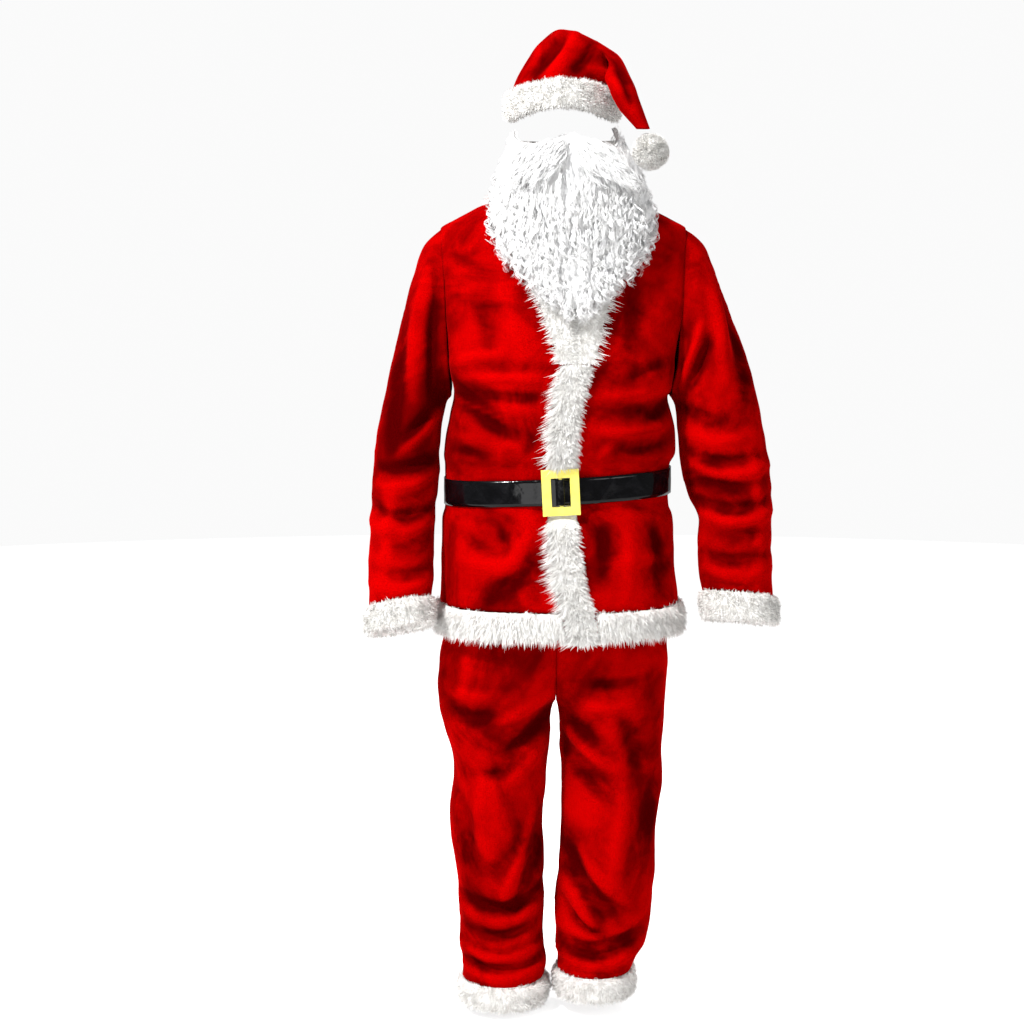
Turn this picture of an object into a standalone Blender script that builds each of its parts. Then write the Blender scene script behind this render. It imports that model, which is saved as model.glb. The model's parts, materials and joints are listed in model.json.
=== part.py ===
"""A worn santa suit with no wearer: hat, curly beard, jacket, belt and trousers.

Metres, +Z up, the front faces -Y and the wearer's right side is at -X. The origin is in the middle of
the neck, level with the top of the shoulders, where the wearer carries the jacket. Every cloth piece
is a thin wall on one of four hollow forms: torso, sleeve, leg and hat.
"""
import math

import bmesh
import bpy
import numpy as np
from mathutils import Vector
from mathutils.bvhtree import BVHTree

# ---------------------------------------------------------------- driving sizes
CLOTH = 0.002            # plush velour, with its backing
SEAM = 0.0003            # the gap that two sewn pieces keep
CLEAR = 0.0006           # between a piece and the cloth that it lies on
FUR_PILE = 0.012         # how far the fur of a trim stands off the cloth
FUR_ROLL = 0.006         # how far a trim's fur turns to the inside
TRIM_WIDTH = 0.050       # hem and cuff trims
ANKLE_WIDTH, ANKLE_PILE = 0.044, 0.013
TORSO_POWER = 2.3        # how square the torso's sections are; 2 is an ellipse

ARMPIT_Z, SHOULDER_Z, SHOULDER_X = -0.332, -0.0365, 0.2165
ARMHOLE_SWELL = 0.034    # how much wider than the panels the torso's form is, half way up the armhole
ARMHOLE_ROWS = 8
HEM_Z = -0.697
NECK_SIDE_X, NECK_SIDE_Z, BACK_NECK_Z = 0.084, 0.0275, 0.0175
NECK_UNDERLAP = 0.008    # how far the neck's fur reaches past the cloth's edge
V_POINT_Z = -0.188
BAND_GAP = 0.0025        # between the front band and the hem trim's ends

BELT_Z, BELT_TILT = -0.489, 0.050
BELT_WIDTH, BELT_THICK = 0.046, 0.002
BUCKLE_WIDTH, BUCKLE_HEIGHT, BUCKLE_THICK = 0.065, 0.080, 0.0045
WINDOW_WIDTH, WINDOW_HEIGHT = 0.033, 0.050
BUCKLE_X = -0.006
BAR_WIDTH, BAR_THICK = 0.006, 0.0015

CROTCH_X = -0.0125       # the plane of the trousers' centre seams
WAIST_Z, WAISTBAND_HEIGHT = -0.440, 0.040
ELASTIC = 0.003

BRIM_HEIGHT, BRIM_PILE = 0.050, 0.019
POMPOM_RADIUS = 0.0335
BEARD_THICK = 0.013
STRAP_WIDTH, STRAP_THICK, STRAP_BACK_Y = 0.012, 0.0015, 0.104

# ---------------------------------------------------------------- tables
# Torso sections: height, centre, half width, depth in front and behind.
TORSO = ("z centre half front back", [
    (-0.770, -0.006, 0.2150, 0.157, 0.137),
    (-0.697, -0.006, 0.2145, 0.160, 0.140),
    (-0.640, -0.008, 0.2105, 0.159, 0.138),
    (-0.580, -0.009, 0.2080, 0.153, 0.134),
    (-0.546, -0.009, 0.2060, 0.147, 0.130),
    (-0.525, -0.010, 0.1995, 0.141, 0.126),
    (-0.489, -0.0105, 0.1985, 0.140, 0.125),
    (-0.453, -0.009, 0.2000, 0.142, 0.126),
    (-0.432, -0.006, 0.2065, 0.152, 0.131),
    (-0.400, -0.004, 0.2045, 0.157, 0.134),
    (-0.365, -0.003, 0.1985, 0.156, 0.133),
    (-0.332, -0.003, 0.1925, 0.153, 0.132),
    (-0.270, -0.001, 0.2000, 0.148, 0.131),
    (-0.200, 0.000, 0.2050, 0.140, 0.128),
    (-0.150, 0.000, 0.2090, 0.131, 0.123),
    (-0.100, 0.000, 0.2120, 0.116, 0.113),
    (-0.060, 0.000, 0.2145, 0.101, 0.099),
    (-0.0365, 0.000, 0.2165, 0.090, 0.088),
    (-0.0190, 0.000, 0.1900, 0.083, 0.081),
    (-0.0020, 0.000, 0.1580, 0.076, 0.075),
    (0.0090, 0.000, 0.1300, 0.070, 0.070),
    (0.0250, 0.000, 0.0900, 0.063, 0.063),
    (0.0310, 0.000, 0.0780, 0.061, 0.061),
    (0.0550, 0.000, 0.0700, 0.058, 0.058),
])
# Heights of the panels' rows at the side seam, below the armhole.
SIDE_ROWS = (-0.697, -0.655, -0.605, -0.555, -0.525, -0.489, -0.453, -0.420, -0.376)
# Heights of the fronts' rows at the centre front, beside the armhole's lower half.
CENTRE_ROWS = (-0.330, -0.300, -0.268, -0.230)
# Centre front, which the front band covers: height, where it runs, half the band's width.
FRONT_BAND = ("z x half", [
    (-0.757, 0.0380, 0.0290),
    (-0.735, 0.0330, 0.0300),
    (-0.6875, 0.0225, 0.0280),
    (-0.650, 0.0120, 0.0275),
    (-0.618, 0.0060, 0.0275),
    (-0.549, -0.0010, 0.0280),
    (-0.489, -0.0020, 0.0280),
    (-0.428, 0.0000, 0.0265),
    (-0.393, 0.0010, 0.0270),
    (-0.341, 0.0070, 0.0280),
    (-0.300, 0.0150, 0.0290),
    (-0.270, 0.0215, 0.0292),
    (-0.180, 0.0195, 0.0200),
])
# The fur strip round the neck, right end to left end: its two edges, on the front or the back.
NECK_BAND = ("sheet in_x in_z out_x out_z", [
    ("front", 0.0190, -0.2690, -0.0075, -0.2690),
    ("front", 0.0190, -0.2420, -0.0160, -0.2420),
    ("front", 0.0190, -0.2130, -0.0255, -0.2130),
    ("front", 0.0188, -0.1850, -0.0345, -0.1870),
    ("front", 0.0085, -0.1540, -0.0440, -0.1600),
    ("front", -0.0050, -0.1230, -0.0550, -0.1310),
    ("front", -0.0190, -0.0930, -0.0690, -0.1030),
    ("front", -0.0350, -0.0580, -0.0840, -0.0720),
    ("front", -0.0520, -0.0220, -0.1010, -0.0400),
    ("front", -0.0670, 0.0080, -0.1140, -0.0120),
    ("front", -0.0735, 0.0230, -0.1215, 0.0030),
    ("ridge", -0.0770, 0.0310, -0.1260, 0.0106),
    ("back", -0.0730, 0.0295, -0.1180, -0.0020),
    ("back", -0.0620, 0.0265, -0.1040, -0.0180),
    ("back", -0.0340, 0.0225, -0.0580, -0.0300),
    ("back", 0.0000, 0.0215, 0.0000, -0.0340),
    ("back", 0.0340, 0.0225, 0.0580, -0.0300),
    ("back", 0.0620, 0.0265, 0.1040, -0.0180),
    ("back", 0.0730, 0.0295, 0.1180, -0.0020),
    ("ridge", 0.0770, 0.0310, 0.1260, 0.0106),
    ("front", 0.0740, 0.0230, 0.1230, 0.0030),
    ("front", 0.0690, 0.0060, 0.1190, -0.0140),
    ("front", 0.0600, -0.0350, 0.1140, -0.0540),
    ("front", 0.0500, -0.0720, 0.1040, -0.0940),
    ("front", 0.0400, -0.1080, 0.0920, -0.1270),
    ("front", 0.0300, -0.1430, 0.0790, -0.1560),
    ("front", 0.0202, -0.1850, 0.0690, -0.1880),
    ("front", 0.0200, -0.2130, 0.0640, -0.2130),
    ("front", 0.0200, -0.2420, 0.0570, -0.2420),
    ("front", 0.0200, -0.2690, 0.0500, -0.2690),
])
# Sleeves: the outer and the inner outline point of each ring, its centre's y and half depth, and
# how far its front is raised, in degrees. The first ring is the armhole.
RIGHT_SLEEVE = ("out_x out_z in_x in_z y depth pitch", [
    (-0.2165, -0.0365, -0.1960, -0.332, 0.000, 0.085, 0),
    (-0.2440, -0.0650, -0.2030, -0.340, 0.000, 0.087, 0),
    (-0.2640, -0.1180, -0.2070, -0.350, 0.000, 0.088, 0),
    (-0.2840, -0.1920, -0.2115, -0.370, 0.000, 0.086, 0),
    (-0.3020, -0.2620, -0.2150, -0.400, -0.001, 0.082, 1),
    (-0.3170, -0.3340, -0.2180, -0.440, -0.004, 0.078, 3),
    (-0.3300, -0.4100, -0.2225, -0.490, -0.010, 0.074, 6),
    (-0.3395, -0.4880, -0.2260, -0.540, -0.024, 0.070, 10),
    (-0.3430, -0.5630, -0.2260, -0.588, -0.044, 0.068, 13),
    (-0.3430, -0.6350, -0.2260, -0.640, -0.066, 0.066, 15),
    (-0.3400, -0.6990, -0.2300, -0.680, -0.088, 0.061, 16),
])
LEFT_SLEEVE = ("out_x out_z in_x in_z y depth pitch", [
    (0.2165, -0.0365, 0.1890, -0.332, 0.000, 0.085, 0),
    (0.2480, -0.0650, 0.1960, -0.342, 0.000, 0.088, 0),
    (0.2700, -0.1100, 0.2000, -0.354, 0.000, 0.090, 0),
    (0.2960, -0.1720, 0.2030, -0.374, 0.000, 0.089, 0),
    (0.3180, -0.2360, 0.2055, -0.400, -0.001, 0.086, 1),
    (0.3370, -0.3000, 0.2080, -0.434, -0.003, 0.083, 2),
    (0.3535, -0.3680, 0.2130, -0.470, -0.008, 0.080, 4),
    (0.3660, -0.4420, 0.2240, -0.510, -0.016, 0.077, 7),
    (0.3725, -0.5120, 0.2400, -0.552, -0.027, 0.074, 9),
    (0.3700, -0.5760, 0.2395, -0.594, -0.038, 0.072, 10),
    (0.3700, -0.6340, 0.2420, -0.640, -0.050, 0.069, 11),
    (0.3710, -0.6830, 0.2480, -0.6725, -0.062, 0.064, 12),
])
# Legs: height, outer and inner outline, the section's centre and half depth. An inner edge past the
# centre seams' plane is cut off there, which makes the seat and the crotch.
RIGHT_LEG = ("z outer inner y depth", [
    (-0.440, -0.178, 0.153, 0.000, 0.112),
    (-0.560, -0.188, 0.163, 0.000, 0.117),
    (-0.660, -0.203, 0.172, -0.001, 0.124),
    (-0.760, -0.2135, 0.140, -0.002, 0.128),
    (-0.800, -0.2225, 0.098, -0.003, 0.126),
    (-0.845, -0.2240, 0.040, -0.004, 0.121),
    (-0.885, -0.2215, -0.0123, -0.005, 0.115),
    (-0.930, -0.2125, -0.0205, -0.006, 0.110),
    (-0.983, -0.1985, -0.0255, -0.008, 0.102),
    (-1.019, -0.1965, -0.0280, -0.009, 0.097),
    (-1.071, -0.2030, -0.0300, -0.010, 0.094),
    (-1.127, -0.2010, -0.0322, -0.007, 0.092),
    (-1.181, -0.1925, -0.0328, -0.004, 0.091),
    (-1.235, -0.1880, -0.0328, -0.002, 0.089),
    (-1.290, -0.1850, -0.0316, -0.003, 0.087),
    (-1.328, -0.1850, -0.0302, -0.008, 0.086),
    (-1.355, -0.1790, -0.0262, -0.013, 0.084),
    (-1.382, -0.1800, -0.0320, -0.018, 0.085),
])
LEFT_LEG = ("z outer inner y depth", [
    (-0.440, 0.153, -0.178, 0.000, 0.112),
    (-0.560, 0.163, -0.188, 0.000, 0.117),
    (-0.660, 0.180, -0.195, -0.001, 0.124),
    (-0.760, 0.1890, -0.160, -0.002, 0.128),
    (-0.800, 0.1890, -0.118, -0.003, 0.126),
    (-0.845, 0.1860, -0.060, -0.004, 0.121),
    (-0.885, 0.1840, -0.0127, -0.005, 0.116),
    (-0.930, 0.1825, -0.0055, -0.006, 0.110),
    (-1.019, 0.1805, -0.0020, -0.009, 0.099),
    (-1.091, 0.1730, -0.0025, -0.010, 0.094),
    (-1.150, 0.1680, -0.0040, -0.009, 0.092),
    (-1.193, 0.1700, -0.0062, -0.006, 0.091),
    (-1.235, 0.1665, -0.0100, -0.004, 0.090),
    (-1.290, 0.1595, -0.0175, -0.003, 0.088),
    (-1.322, 0.1520, -0.0185, -0.006, 0.086),
    (-1.345, 0.1370, -0.0080, -0.012, 0.082),
    (-1.368, 0.1260, -0.0070, -0.017, 0.081),
])
# Hat: the upper and the lower outline point of each ring, from the brim over the top and down the tail,
# and how far the ring's front and back are raised above its sides.
HAT = ("out_x out_z in_x in_z y depth front back", [
    (-0.0880, 0.203, 0.0860, 0.2030, 0.000, 0.099, 0.017, 0.031),
    (-0.0790, 0.229, 0.0895, 0.2145, 0.000, 0.096, 0.015, 0.026),
    (-0.0640, 0.258, 0.0915, 0.2250, -0.001, 0.088, 0.011, 0.017),
    (-0.0400, 0.290, 0.0915, 0.2345, -0.003, 0.077, 0.007, 0.007),
    (-0.0050, 0.3115, 0.0890, 0.2420, -0.008, 0.066, 0.002, 0.000),
    (0.0330, 0.3020, 0.0840, 0.2450, -0.017, 0.056, 0.000, 0.000),
    (0.0670, 0.2830, 0.0785, 0.2420, -0.031, 0.047, 0.000, 0.000),
    (0.0960, 0.2610, 0.0750, 0.2330, -0.051, 0.040, 0.000, 0.000),
    (0.1100, 0.2330, 0.0750, 0.2180, -0.075, 0.033, 0.000, 0.000),
    (0.1200, 0.2060, 0.0795, 0.1950, -0.097, 0.027, 0.000, 0.000),
    (0.1290, 0.1800, 0.0890, 0.1720, -0.109, 0.023, 0.000, 0.000),
    (0.1370, 0.1540, 0.1050, 0.1520, -0.115, 0.019, 0.000, 0.000),
    (0.1450, 0.1320, 0.1230, 0.1320, -0.118, 0.014, 0.000, 0.000),
])
POMPOM_AT = (0.1470, -0.118, 0.0935)
# Beard sections: height, centre, half width, y at the sides and at the middle.
BEARD = ("z centre half side front", [
    (-0.200, 0.020, 0.050, -0.168, -0.173),
    (-0.160, 0.016, 0.078, -0.150, -0.168),
    (-0.110, 0.012, 0.104, -0.124, -0.158),
    (-0.060, 0.014, 0.128, -0.100, -0.152),
    (-0.010, 0.015, 0.147, -0.072, -0.148),
    (0.030, 0.012, 0.141, -0.050, -0.145),
    (0.075, 0.010, 0.126, -0.030, -0.141),
    (0.110, 0.006, 0.110, -0.014, -0.134),
    (0.150, 0.003, 0.098, -0.006, -0.126),
])
# The beard's edges across its width: share of the half width, upper and lower edge.
BEARD_EDGES = ("share top bottom", [
    (-1.00, 0.138, -0.010),
    (-0.85, 0.130, -0.052),
    (-0.60, 0.114, -0.100),
    (-0.30, 0.111, -0.140),
    (0.00, 0.125, -0.172),
    (0.30, 0.115, -0.158),
    (0.60, 0.110, -0.115),
    (0.85, 0.128, -0.066),
    (1.00, 0.146, -0.030),
])
# The strap's end, folded over the buckle's bar: corners of its outline seen from above, from the bar.
BELT_END = ((-0.0160, -0.0012), (-0.0090, -0.0016), (-0.0050, -0.0028), (0.0052, -0.0028),
            (0.0062, -0.0016), (0.0062, 0.0014), (0.0052, 0.0022), (-0.0020, 0.0022),
            (-0.0020, 0.0012), (0.0040, 0.0012), (0.0046, 0.0006), (0.0046, -0.0012),
            (0.0040, -0.0016), (-0.0040, -0.0016), (-0.0080, -0.0004), (-0.0160, 0.0000))
# The largest folds: front or back, three points of a bend across it, half width, depth (- is a trough).
FOLDS = ("sheet x1 z1 x2 z2 x3 z3 width depth", [
    ("front", -0.186, -0.307, -0.142, -0.372, -0.073, -0.397, 0.016, -0.008),
    ("front", -0.190, -0.350, -0.130, -0.410, -0.050, -0.425, 0.014, 0.005),
    ("front", -0.177, -0.268, -0.100, -0.280, -0.021, -0.272, 0.012, -0.004),
    ("front", 0.050, -0.352, 0.110, -0.356, 0.180, -0.346, 0.014, -0.005),
    ("front", -0.160, -0.653, -0.081, -0.668, -0.030, -0.560, 0.018, -0.005),
    ("front", 0.222, -0.186, 0.205, -0.240, 0.196, -0.299, 0.013, -0.006),
    ("front", 0.225, -0.470, 0.300, -0.500, 0.366, -0.470, 0.017, -0.007),
    ("front", 0.240, -0.560, 0.300, -0.580, 0.365, -0.556, 0.016, -0.006),
    ("front", -0.340, -0.575, -0.290, -0.615, -0.230, -0.575, 0.018, -0.006),
    ("front", -0.004, -0.872, 0.030, -0.925, 0.090, -0.956, 0.016, -0.006),
    ("front", -0.004, -0.924, 0.040, -0.985, 0.090, -1.003, 0.015, -0.006),
    ("front", -0.180, -1.090, -0.120, -1.262, -0.045, -1.060, 0.019, -0.008),
    ("front", -0.180, -1.300, -0.110, -1.350, -0.040, -1.305, 0.013, -0.006),
    ("front", 0.008, -1.110, 0.050, -1.275, 0.125, -1.235, 0.019, -0.008),
    ("front", 0.000, -1.300, 0.060, -1.320, 0.130, -1.285, 0.014, -0.007),
    ("back", -0.180, -0.380, 0.000, -0.425, 0.170, -0.375, 0.018, -0.006),
    ("back", -0.170, -0.300, -0.080, -0.350, 0.060, -0.340, 0.018, 0.005),
    ("back", -0.180, -0.970, -0.110, -1.030, -0.040, -0.980, 0.018, -0.007),
    ("back", 0.010, -0.990, 0.070, -1.050, 0.150, -0.990, 0.018, -0.007),
    ("back", -0.335, -0.450, -0.280, -0.480, -0.230, -0.500, 0.017, -0.006),
    ("back", 0.360, -0.430, 0.300, -0.470, 0.230, -0.490, 0.017, -0.006),
])
FOLD_FREE_OF_BELT = 0.055  # no fold this near the belt, which presses the cloth flat

COLOURS = {               # base colour, roughness
    "velour_red": ((0.55, 0.003, 0.004, 1.0), 0.85),
    "fur_white": ((0.86, 0.84, 0.80, 1.0), 0.95),
    "curls_white": ((0.84, 0.82, 0.78, 1.0), 0.60),
    "vinyl_black": ((0.006, 0.006, 0.007, 1.0), 0.12),
    "plastic_yellow": ((0.90, 0.74, 0.08, 1.0), 0.35),
    "elastic_white": ((0.80, 0.79, 0.76, 1.0), 0.80),
}


# ---------------------------------------------------------------- tables made smooth
class Table:
    """Columns of a short table, read between the rows along smooth curves that don't overshoot."""

    def __init__(self, table):
        names, rows = table
        self.names = names.split()
        self.rows = rows
        self.columns = {n: np.array([r[k] for r in rows]) for k, n in enumerate(self.names)}

    def read(self, at, by=None):
        """Every number column at `at`, along column `by`, or along the row number."""
        keys = np.arange(len(self.rows), dtype=float) if by is None else self.columns[by]
        return {n: smooth(at, keys, c) for n, c in self.columns.items() if n != by and c.dtype.kind in "fi"}


def smooth(at, keys, values):
    """Piecewise cubic through the values, flat at their turning points."""
    values = values.astype(float)
    step = np.diff(keys)
    rise = np.diff(values) / step
    slope = np.zeros(len(values))
    left, right = rise[:-1], rise[1:]
    same = left * right > 0
    slope[1:-1][same] = 2 * (left * right)[same] / (left + right)[same]
    slope[0], slope[-1] = rise[0], rise[-1]
    at = np.clip(np.asarray(at, float), keys[0], keys[-1])
    i = np.clip(np.searchsorted(keys, at, side="right") - 1, 0, len(step) - 1)
    t = (at - keys[i]) / step[i]
    a, b = values[i], values[i + 1]
    m, n = slope[i] * step[i], slope[i + 1] * step[i]
    return (
        a * (1 + 2 * t) * (1 - t) ** 2
        + b * t * t * (3 - 2 * t)
        + m * t * (1 - t) ** 2
        - n * t * t * (1 - t)
    )


def stack(x, y, z):
    """Points from three arrays of any shapes that fit together."""
    return np.stack(np.broadcast_arrays(x, y, z), axis=-1).astype(float)


def unit(v):
    return v / np.maximum(np.linalg.norm(v, axis=-1, keepdims=True), 1e-12)


def ease(t):
    t = np.clip(t, 0, 1)
    return t * t * (3 - 2 * t)


# ---------------------------------------------------------------- the torso's form
torso_table = Table(TORSO)


def torso(z):
    """(centre, half width, front depth, back depth, half width at the side seams and armholes) at z."""
    row = torso_table.read(z, "z")
    cut = row["half"]
    up = np.clip((z - ARMPIT_Z) / (SHOULDER_Z - ARMPIT_Z), 0, 1)
    return row["centre"], cut + ARMHOLE_SWELL * np.sin(math.pi * up), row["front"], row["back"], cut


def on_torso(x, z, sheet):
    centre, half, front, back, _ = torso(z)
    across = np.clip(np.abs(x - centre) / half, 0, 1)
    deep = (1 - across ** TORSO_POWER) ** (1 / TORSO_POWER)
    return stack(x, deep * (back if sheet == "back" else -front), z)


def torso_x(u, z):
    """x for u from -1 to 1 between the side seams or armholes."""
    centre, half, _, _, cut = torso(z)
    edge = np.arcsin(np.clip(cut / half, 0, 1))
    return centre + cut * np.sin(edge * u) / np.sin(edge)


def torso_u(x, z):
    centre, half, _, _, cut = torso(z)
    edge = np.arcsin(np.clip(cut / half, 0, 1))
    return np.arcsin(np.clip((x - centre) / cut * np.sin(edge), -1, 1)) / edge


def steepest(level, points, step=0.0005):
    """The way out of a form, from the slope of its equation."""
    slopes = []
    for axis in range(3):
        move = np.zeros(3)
        move[axis] = step
        slopes.append(level(points + move) - level(points - move))
    return unit(np.stack(slopes, axis=-1))


def torso_normal(points):
    def level(p):
        centre, half, front, back, _ = torso(p[..., 2])
        deep = np.where(p[..., 1] > 0, back, front)
        return (np.abs(p[..., 0] - centre) / half) ** TORSO_POWER + (np.abs(p[..., 1]) / deep) ** TORSO_POWER

    return steepest(level, points)


def shoulder_z(x):
    """The height of the shoulder line at x."""
    heights = np.linspace(SHOULDER_Z, NECK_SIDE_Z + 0.01, 60)
    widths = torso_table.read(heights, "z")["half"]
    z = np.interp(np.abs(x), widths[::-1], heights[::-1])
    return np.where(np.abs(x) > SHOULDER_X - 1e-6, SHOULDER_Z, z)


def patch(bottom, top, left, right, columns):
    """A grid of (u, z) between four edges. The side edges are lists, the others functions of a share."""
    s = np.linspace(0, 1, columns)[None]
    rows = len(left)
    t = np.linspace(0, 1, rows)[:, None]
    grid = []
    for k in range(2):
        west, east = np.array(left)[:, k:k + 1], np.array(right)[:, k:k + 1]
        low, high = bottom(s)[k], top(s)[k]
        corners = (1 - t) * ((1 - s) * west[0] + s * east[0]) + t * ((1 - s) * west[-1] + s * east[-1])
        grid.append((1 - t) * low + t * high + (1 - s) * west + s * east - corners)
    return grid


# ---------------------------------------------------------------- folds
def bend(row, count=24):
    """Points along one fold, a curve between its first and last points, drawn towards its middle one."""
    t = np.linspace(0, 1, count)[:, None]
    a, b, c = (np.array(row[k:k + 2], float) for k in (1, 3, 5))
    return (1 - t) ** 2 * a + 2 * t * (1 - t) * b + t * t * c


def folded(points, normals):
    """The points moved along their normals by the folds, which fade at their ends and under the belt."""
    flat, out = points.reshape(-1, 3), normals.reshape(-1, 3)
    moved = np.zeros(len(flat))
    for row in FOLDS[1]:
        line = bend(row)
        width, depth = row[7], row[8]
        away = np.linalg.norm(flat[:, None, [0, 2]] - line[None], axis=2)
        share = away.argmin(1) / (len(line) - 1)
        faces = ease(0.5 + 1.2 * out[:, 1] * (1 if row[0] == "back" else -1))
        moved += depth * np.exp(-(away.min(1) / width) ** 2) * np.sin(math.pi * (0.1 + 0.8 * share)) * faces
    from_belt = np.abs(flat[:, 2] - BELT_Z - BELT_TILT * flat[:, 0])
    by_belt = np.abs(flat[:, 0]) < SHOULDER_X
    moved *= np.where(by_belt, ease(from_belt / FOLD_FREE_OF_BELT - 0.4), 1)
    return (flat + moved[:, None] * out).reshape(points.shape)


# ---------------------------------------------------------------- meshes from grids
def new_object(name, verts, faces, slot):
    mesh = bpy.data.meshes.new(name)
    mesh.from_pydata([tuple(v) for v in verts], [], faces)
    mesh.materials.append(material(slot))
    mesh.update()
    mesh.shade_smooth()
    mesh.set_sharp_from_angle(angle=math.radians(50))
    obj = bpy.data.objects.new(name, mesh)
    bpy.data.collections["santa_suit"].objects.link(obj)
    return outward(obj)


def outward(obj):
    """Turns all the faces of a closed mesh to point out."""
    mesh = bmesh.new()
    mesh.from_mesh(obj.data)
    bmesh.ops.recalc_face_normals(mesh, faces=mesh.faces)
    if mesh.calc_volume(signed=True) < 0:
        bmesh.ops.reverse_faces(mesh, faces=mesh.faces)
    mesh.to_mesh(obj.data)
    mesh.free()
    return obj


def material(slot):
    found = bpy.data.materials.get(slot)
    if found:
        return found
    colour, roughness = COLOURS[slot]
    made = bpy.data.materials.new(slot)
    made.use_nodes = True
    shader = made.node_tree.nodes["Principled BSDF"]
    shader.inputs["Base Color"].default_value = colour
    shader.inputs["Roughness"].default_value = roughness
    return made


def grid_faces(rows, columns, ring_rows, ring_columns):
    """Two triangles for each cell of a grid of points."""
    faces = []
    for i in range(rows if ring_rows else rows - 1):
        for j in range(columns if ring_columns else columns - 1):
            a = i * columns + j
            b = i * columns + (j + 1) % columns
            c = (i + 1) % rows * columns + (j + 1) % columns
            d = (i + 1) % rows * columns + j
            faces += [(a, b, c), (a, c, d)]
    return faces


def wall(name, outer, normals, thick, slot, ring=False):
    """A sheet of cloth as a closed wall: its outer points, the same ones moved in, and the rims."""
    rows, columns = outer.shape[:2]
    inner = outer - thick * normals
    verts = np.concatenate([outer.reshape(-1, 3), inner.reshape(-1, 3)])
    inside = rows * columns
    faces = grid_faces(rows, columns, False, ring)
    faces += [tuple(v + inside for v in reversed(f)) for f in grid_faces(rows, columns, False, ring)]
    bottom = list(range(columns))
    top = [inside - columns + i for i in range(columns)]
    edges = [bottom + bottom[:1], top + top[:1]]
    if not ring:
        left = [i * columns for i in range(rows)]
        edges = [bottom, top, left, [i + columns - 1 for i in left]]
    for line in edges:
        for a, b in zip(line, line[1:]):
            if verts[a][2] > verts[b][2]:   # so that the rims of two sewn pieces are split alike
                a, b = b, a
            faces += [(a, b, b + inside), (a, b + inside, a + inside)]
    return new_object(name, verts, faces, slot)


def swept(name, sections, slot, ring):
    """A solid through closed sections: a ring of them, or a run with flat ends."""
    count, corners = sections.shape[:2]
    faces = grid_faces(count, corners, ring, True)
    if not ring:
        for first in (0, (count - 1) * corners):
            for k in range(corners // 2 - 1):
                a, b, c, d = (first + i for i in (k, k + 1, corners - 2 - k, corners - 1 - k))
                faces += [(a, b, c), (a, c, d)]
    return new_object(name, sections.reshape(-1, 3), faces, slot)


def trimmed(points, amount):
    """A grid whose first and last columns are drawn back along the cloth, to leave a seam's gap."""
    points = points.copy()
    points[:, 0] += amount * unit(points[:, 1] - points[:, 0])
    points[:, -1] += amount * unit(points[:, -2] - points[:, -1])
    return points


# ---------------------------------------------------------------- laying a piece on others
def surface_of(*names):
    verts, faces = [], []
    for name in names:
        mesh = bpy.data.objects[name].data
        first = len(verts)
        verts += [v.co.copy() for v in mesh.vertices]
        faces += [[first + i for i in p.vertices] for p in mesh.polygons]
    return BVHTree.FromPolygons(verts, faces)


def laid_on(points, normals, below, clear=CLEAR, ring=False, reach=0.03):
    """Points of a grid moved out until every cell between them clears the pieces below."""
    points = points.copy()
    rows, columns = points.shape[:2]
    shares = np.linspace(0, 1, 7)
    for _ in range(4):
        lift = np.zeros((rows, columns))
        for i in range(rows - 1):
            for j in range(columns if ring else columns - 1):
                k = (j + 1) % columns
                corners = ((i, j), (i, k), (i + 1, k), (i + 1, j))
                place = [points[c] for c in corners]
                way = [normals[c] for c in corners]
                worst = 0.0
                for s in shares:
                    for t in shares:
                        if s >= t:
                            weights = (1 - s, s - t, t, 0)
                        else:
                            weights = (1 - t, 0, s, t - s)
                        sample = sum(w * p for w, p in zip(weights, place))
                        out = unit(sum(w * n for w, n in zip(weights, way)))
                        hit = below.ray_cast(Vector(sample + reach * out), Vector(-out), 2 * reach)
                        if hit[0] is not None:
                            worst = max(worst, reach - hit[3] + clear)
                for c in corners:
                    lift[c] = max(lift[c], worst)
        points += lift[..., None] * normals
        if lift.max() < 1e-6:
            break
    return points


# ---------------------------------------------------------------- jacket
PANELS = ("jacket_front_right", "jacket_front_left", "jacket_back")
ARMHOLE_Z = [
    (SHOULDER_Z + ARMPIT_Z) / 2 - (SHOULDER_Z - ARMPIT_Z) / 2 * math.cos(math.pi * k / ARMHOLE_ROWS)
    for k in range(ARMHOLE_ROWS + 1)
]
ROW_Z = list(SIDE_ROWS) + ARMHOLE_Z
band_table = Table(FRONT_BAND)


def centre_front(z):
    return band_table.read(z, "z")["x"]


def neckline(side, count):
    """(x, z) at even steps along the cloth's neck edge, from the point of the V to the shoulder seam."""
    rows = [r for r in NECK_BAND[1] if r[0] == "front" and r[1] * side > 0 and r[2] > V_POINT_Z + 0.01]
    rows = rows if side < 0 else rows[::-1]
    edge = [(float(centre_front(V_POINT_Z)), V_POINT_Z)]
    edge += [(r[1] + side * NECK_UNDERLAP, r[2] - 0.003) for r in rows[:-1]]
    edge.append((side * NECK_SIDE_X, NECK_SIDE_Z))
    edge = np.array(edge)
    length = np.concatenate([[0], np.cumsum(np.linalg.norm(np.diff(edge, axis=0), axis=1))])
    at = np.linspace(0, length[-1], count)
    return np.stack([np.interp(at, length, edge[:, k]) for k in range(2)], axis=1)


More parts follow.
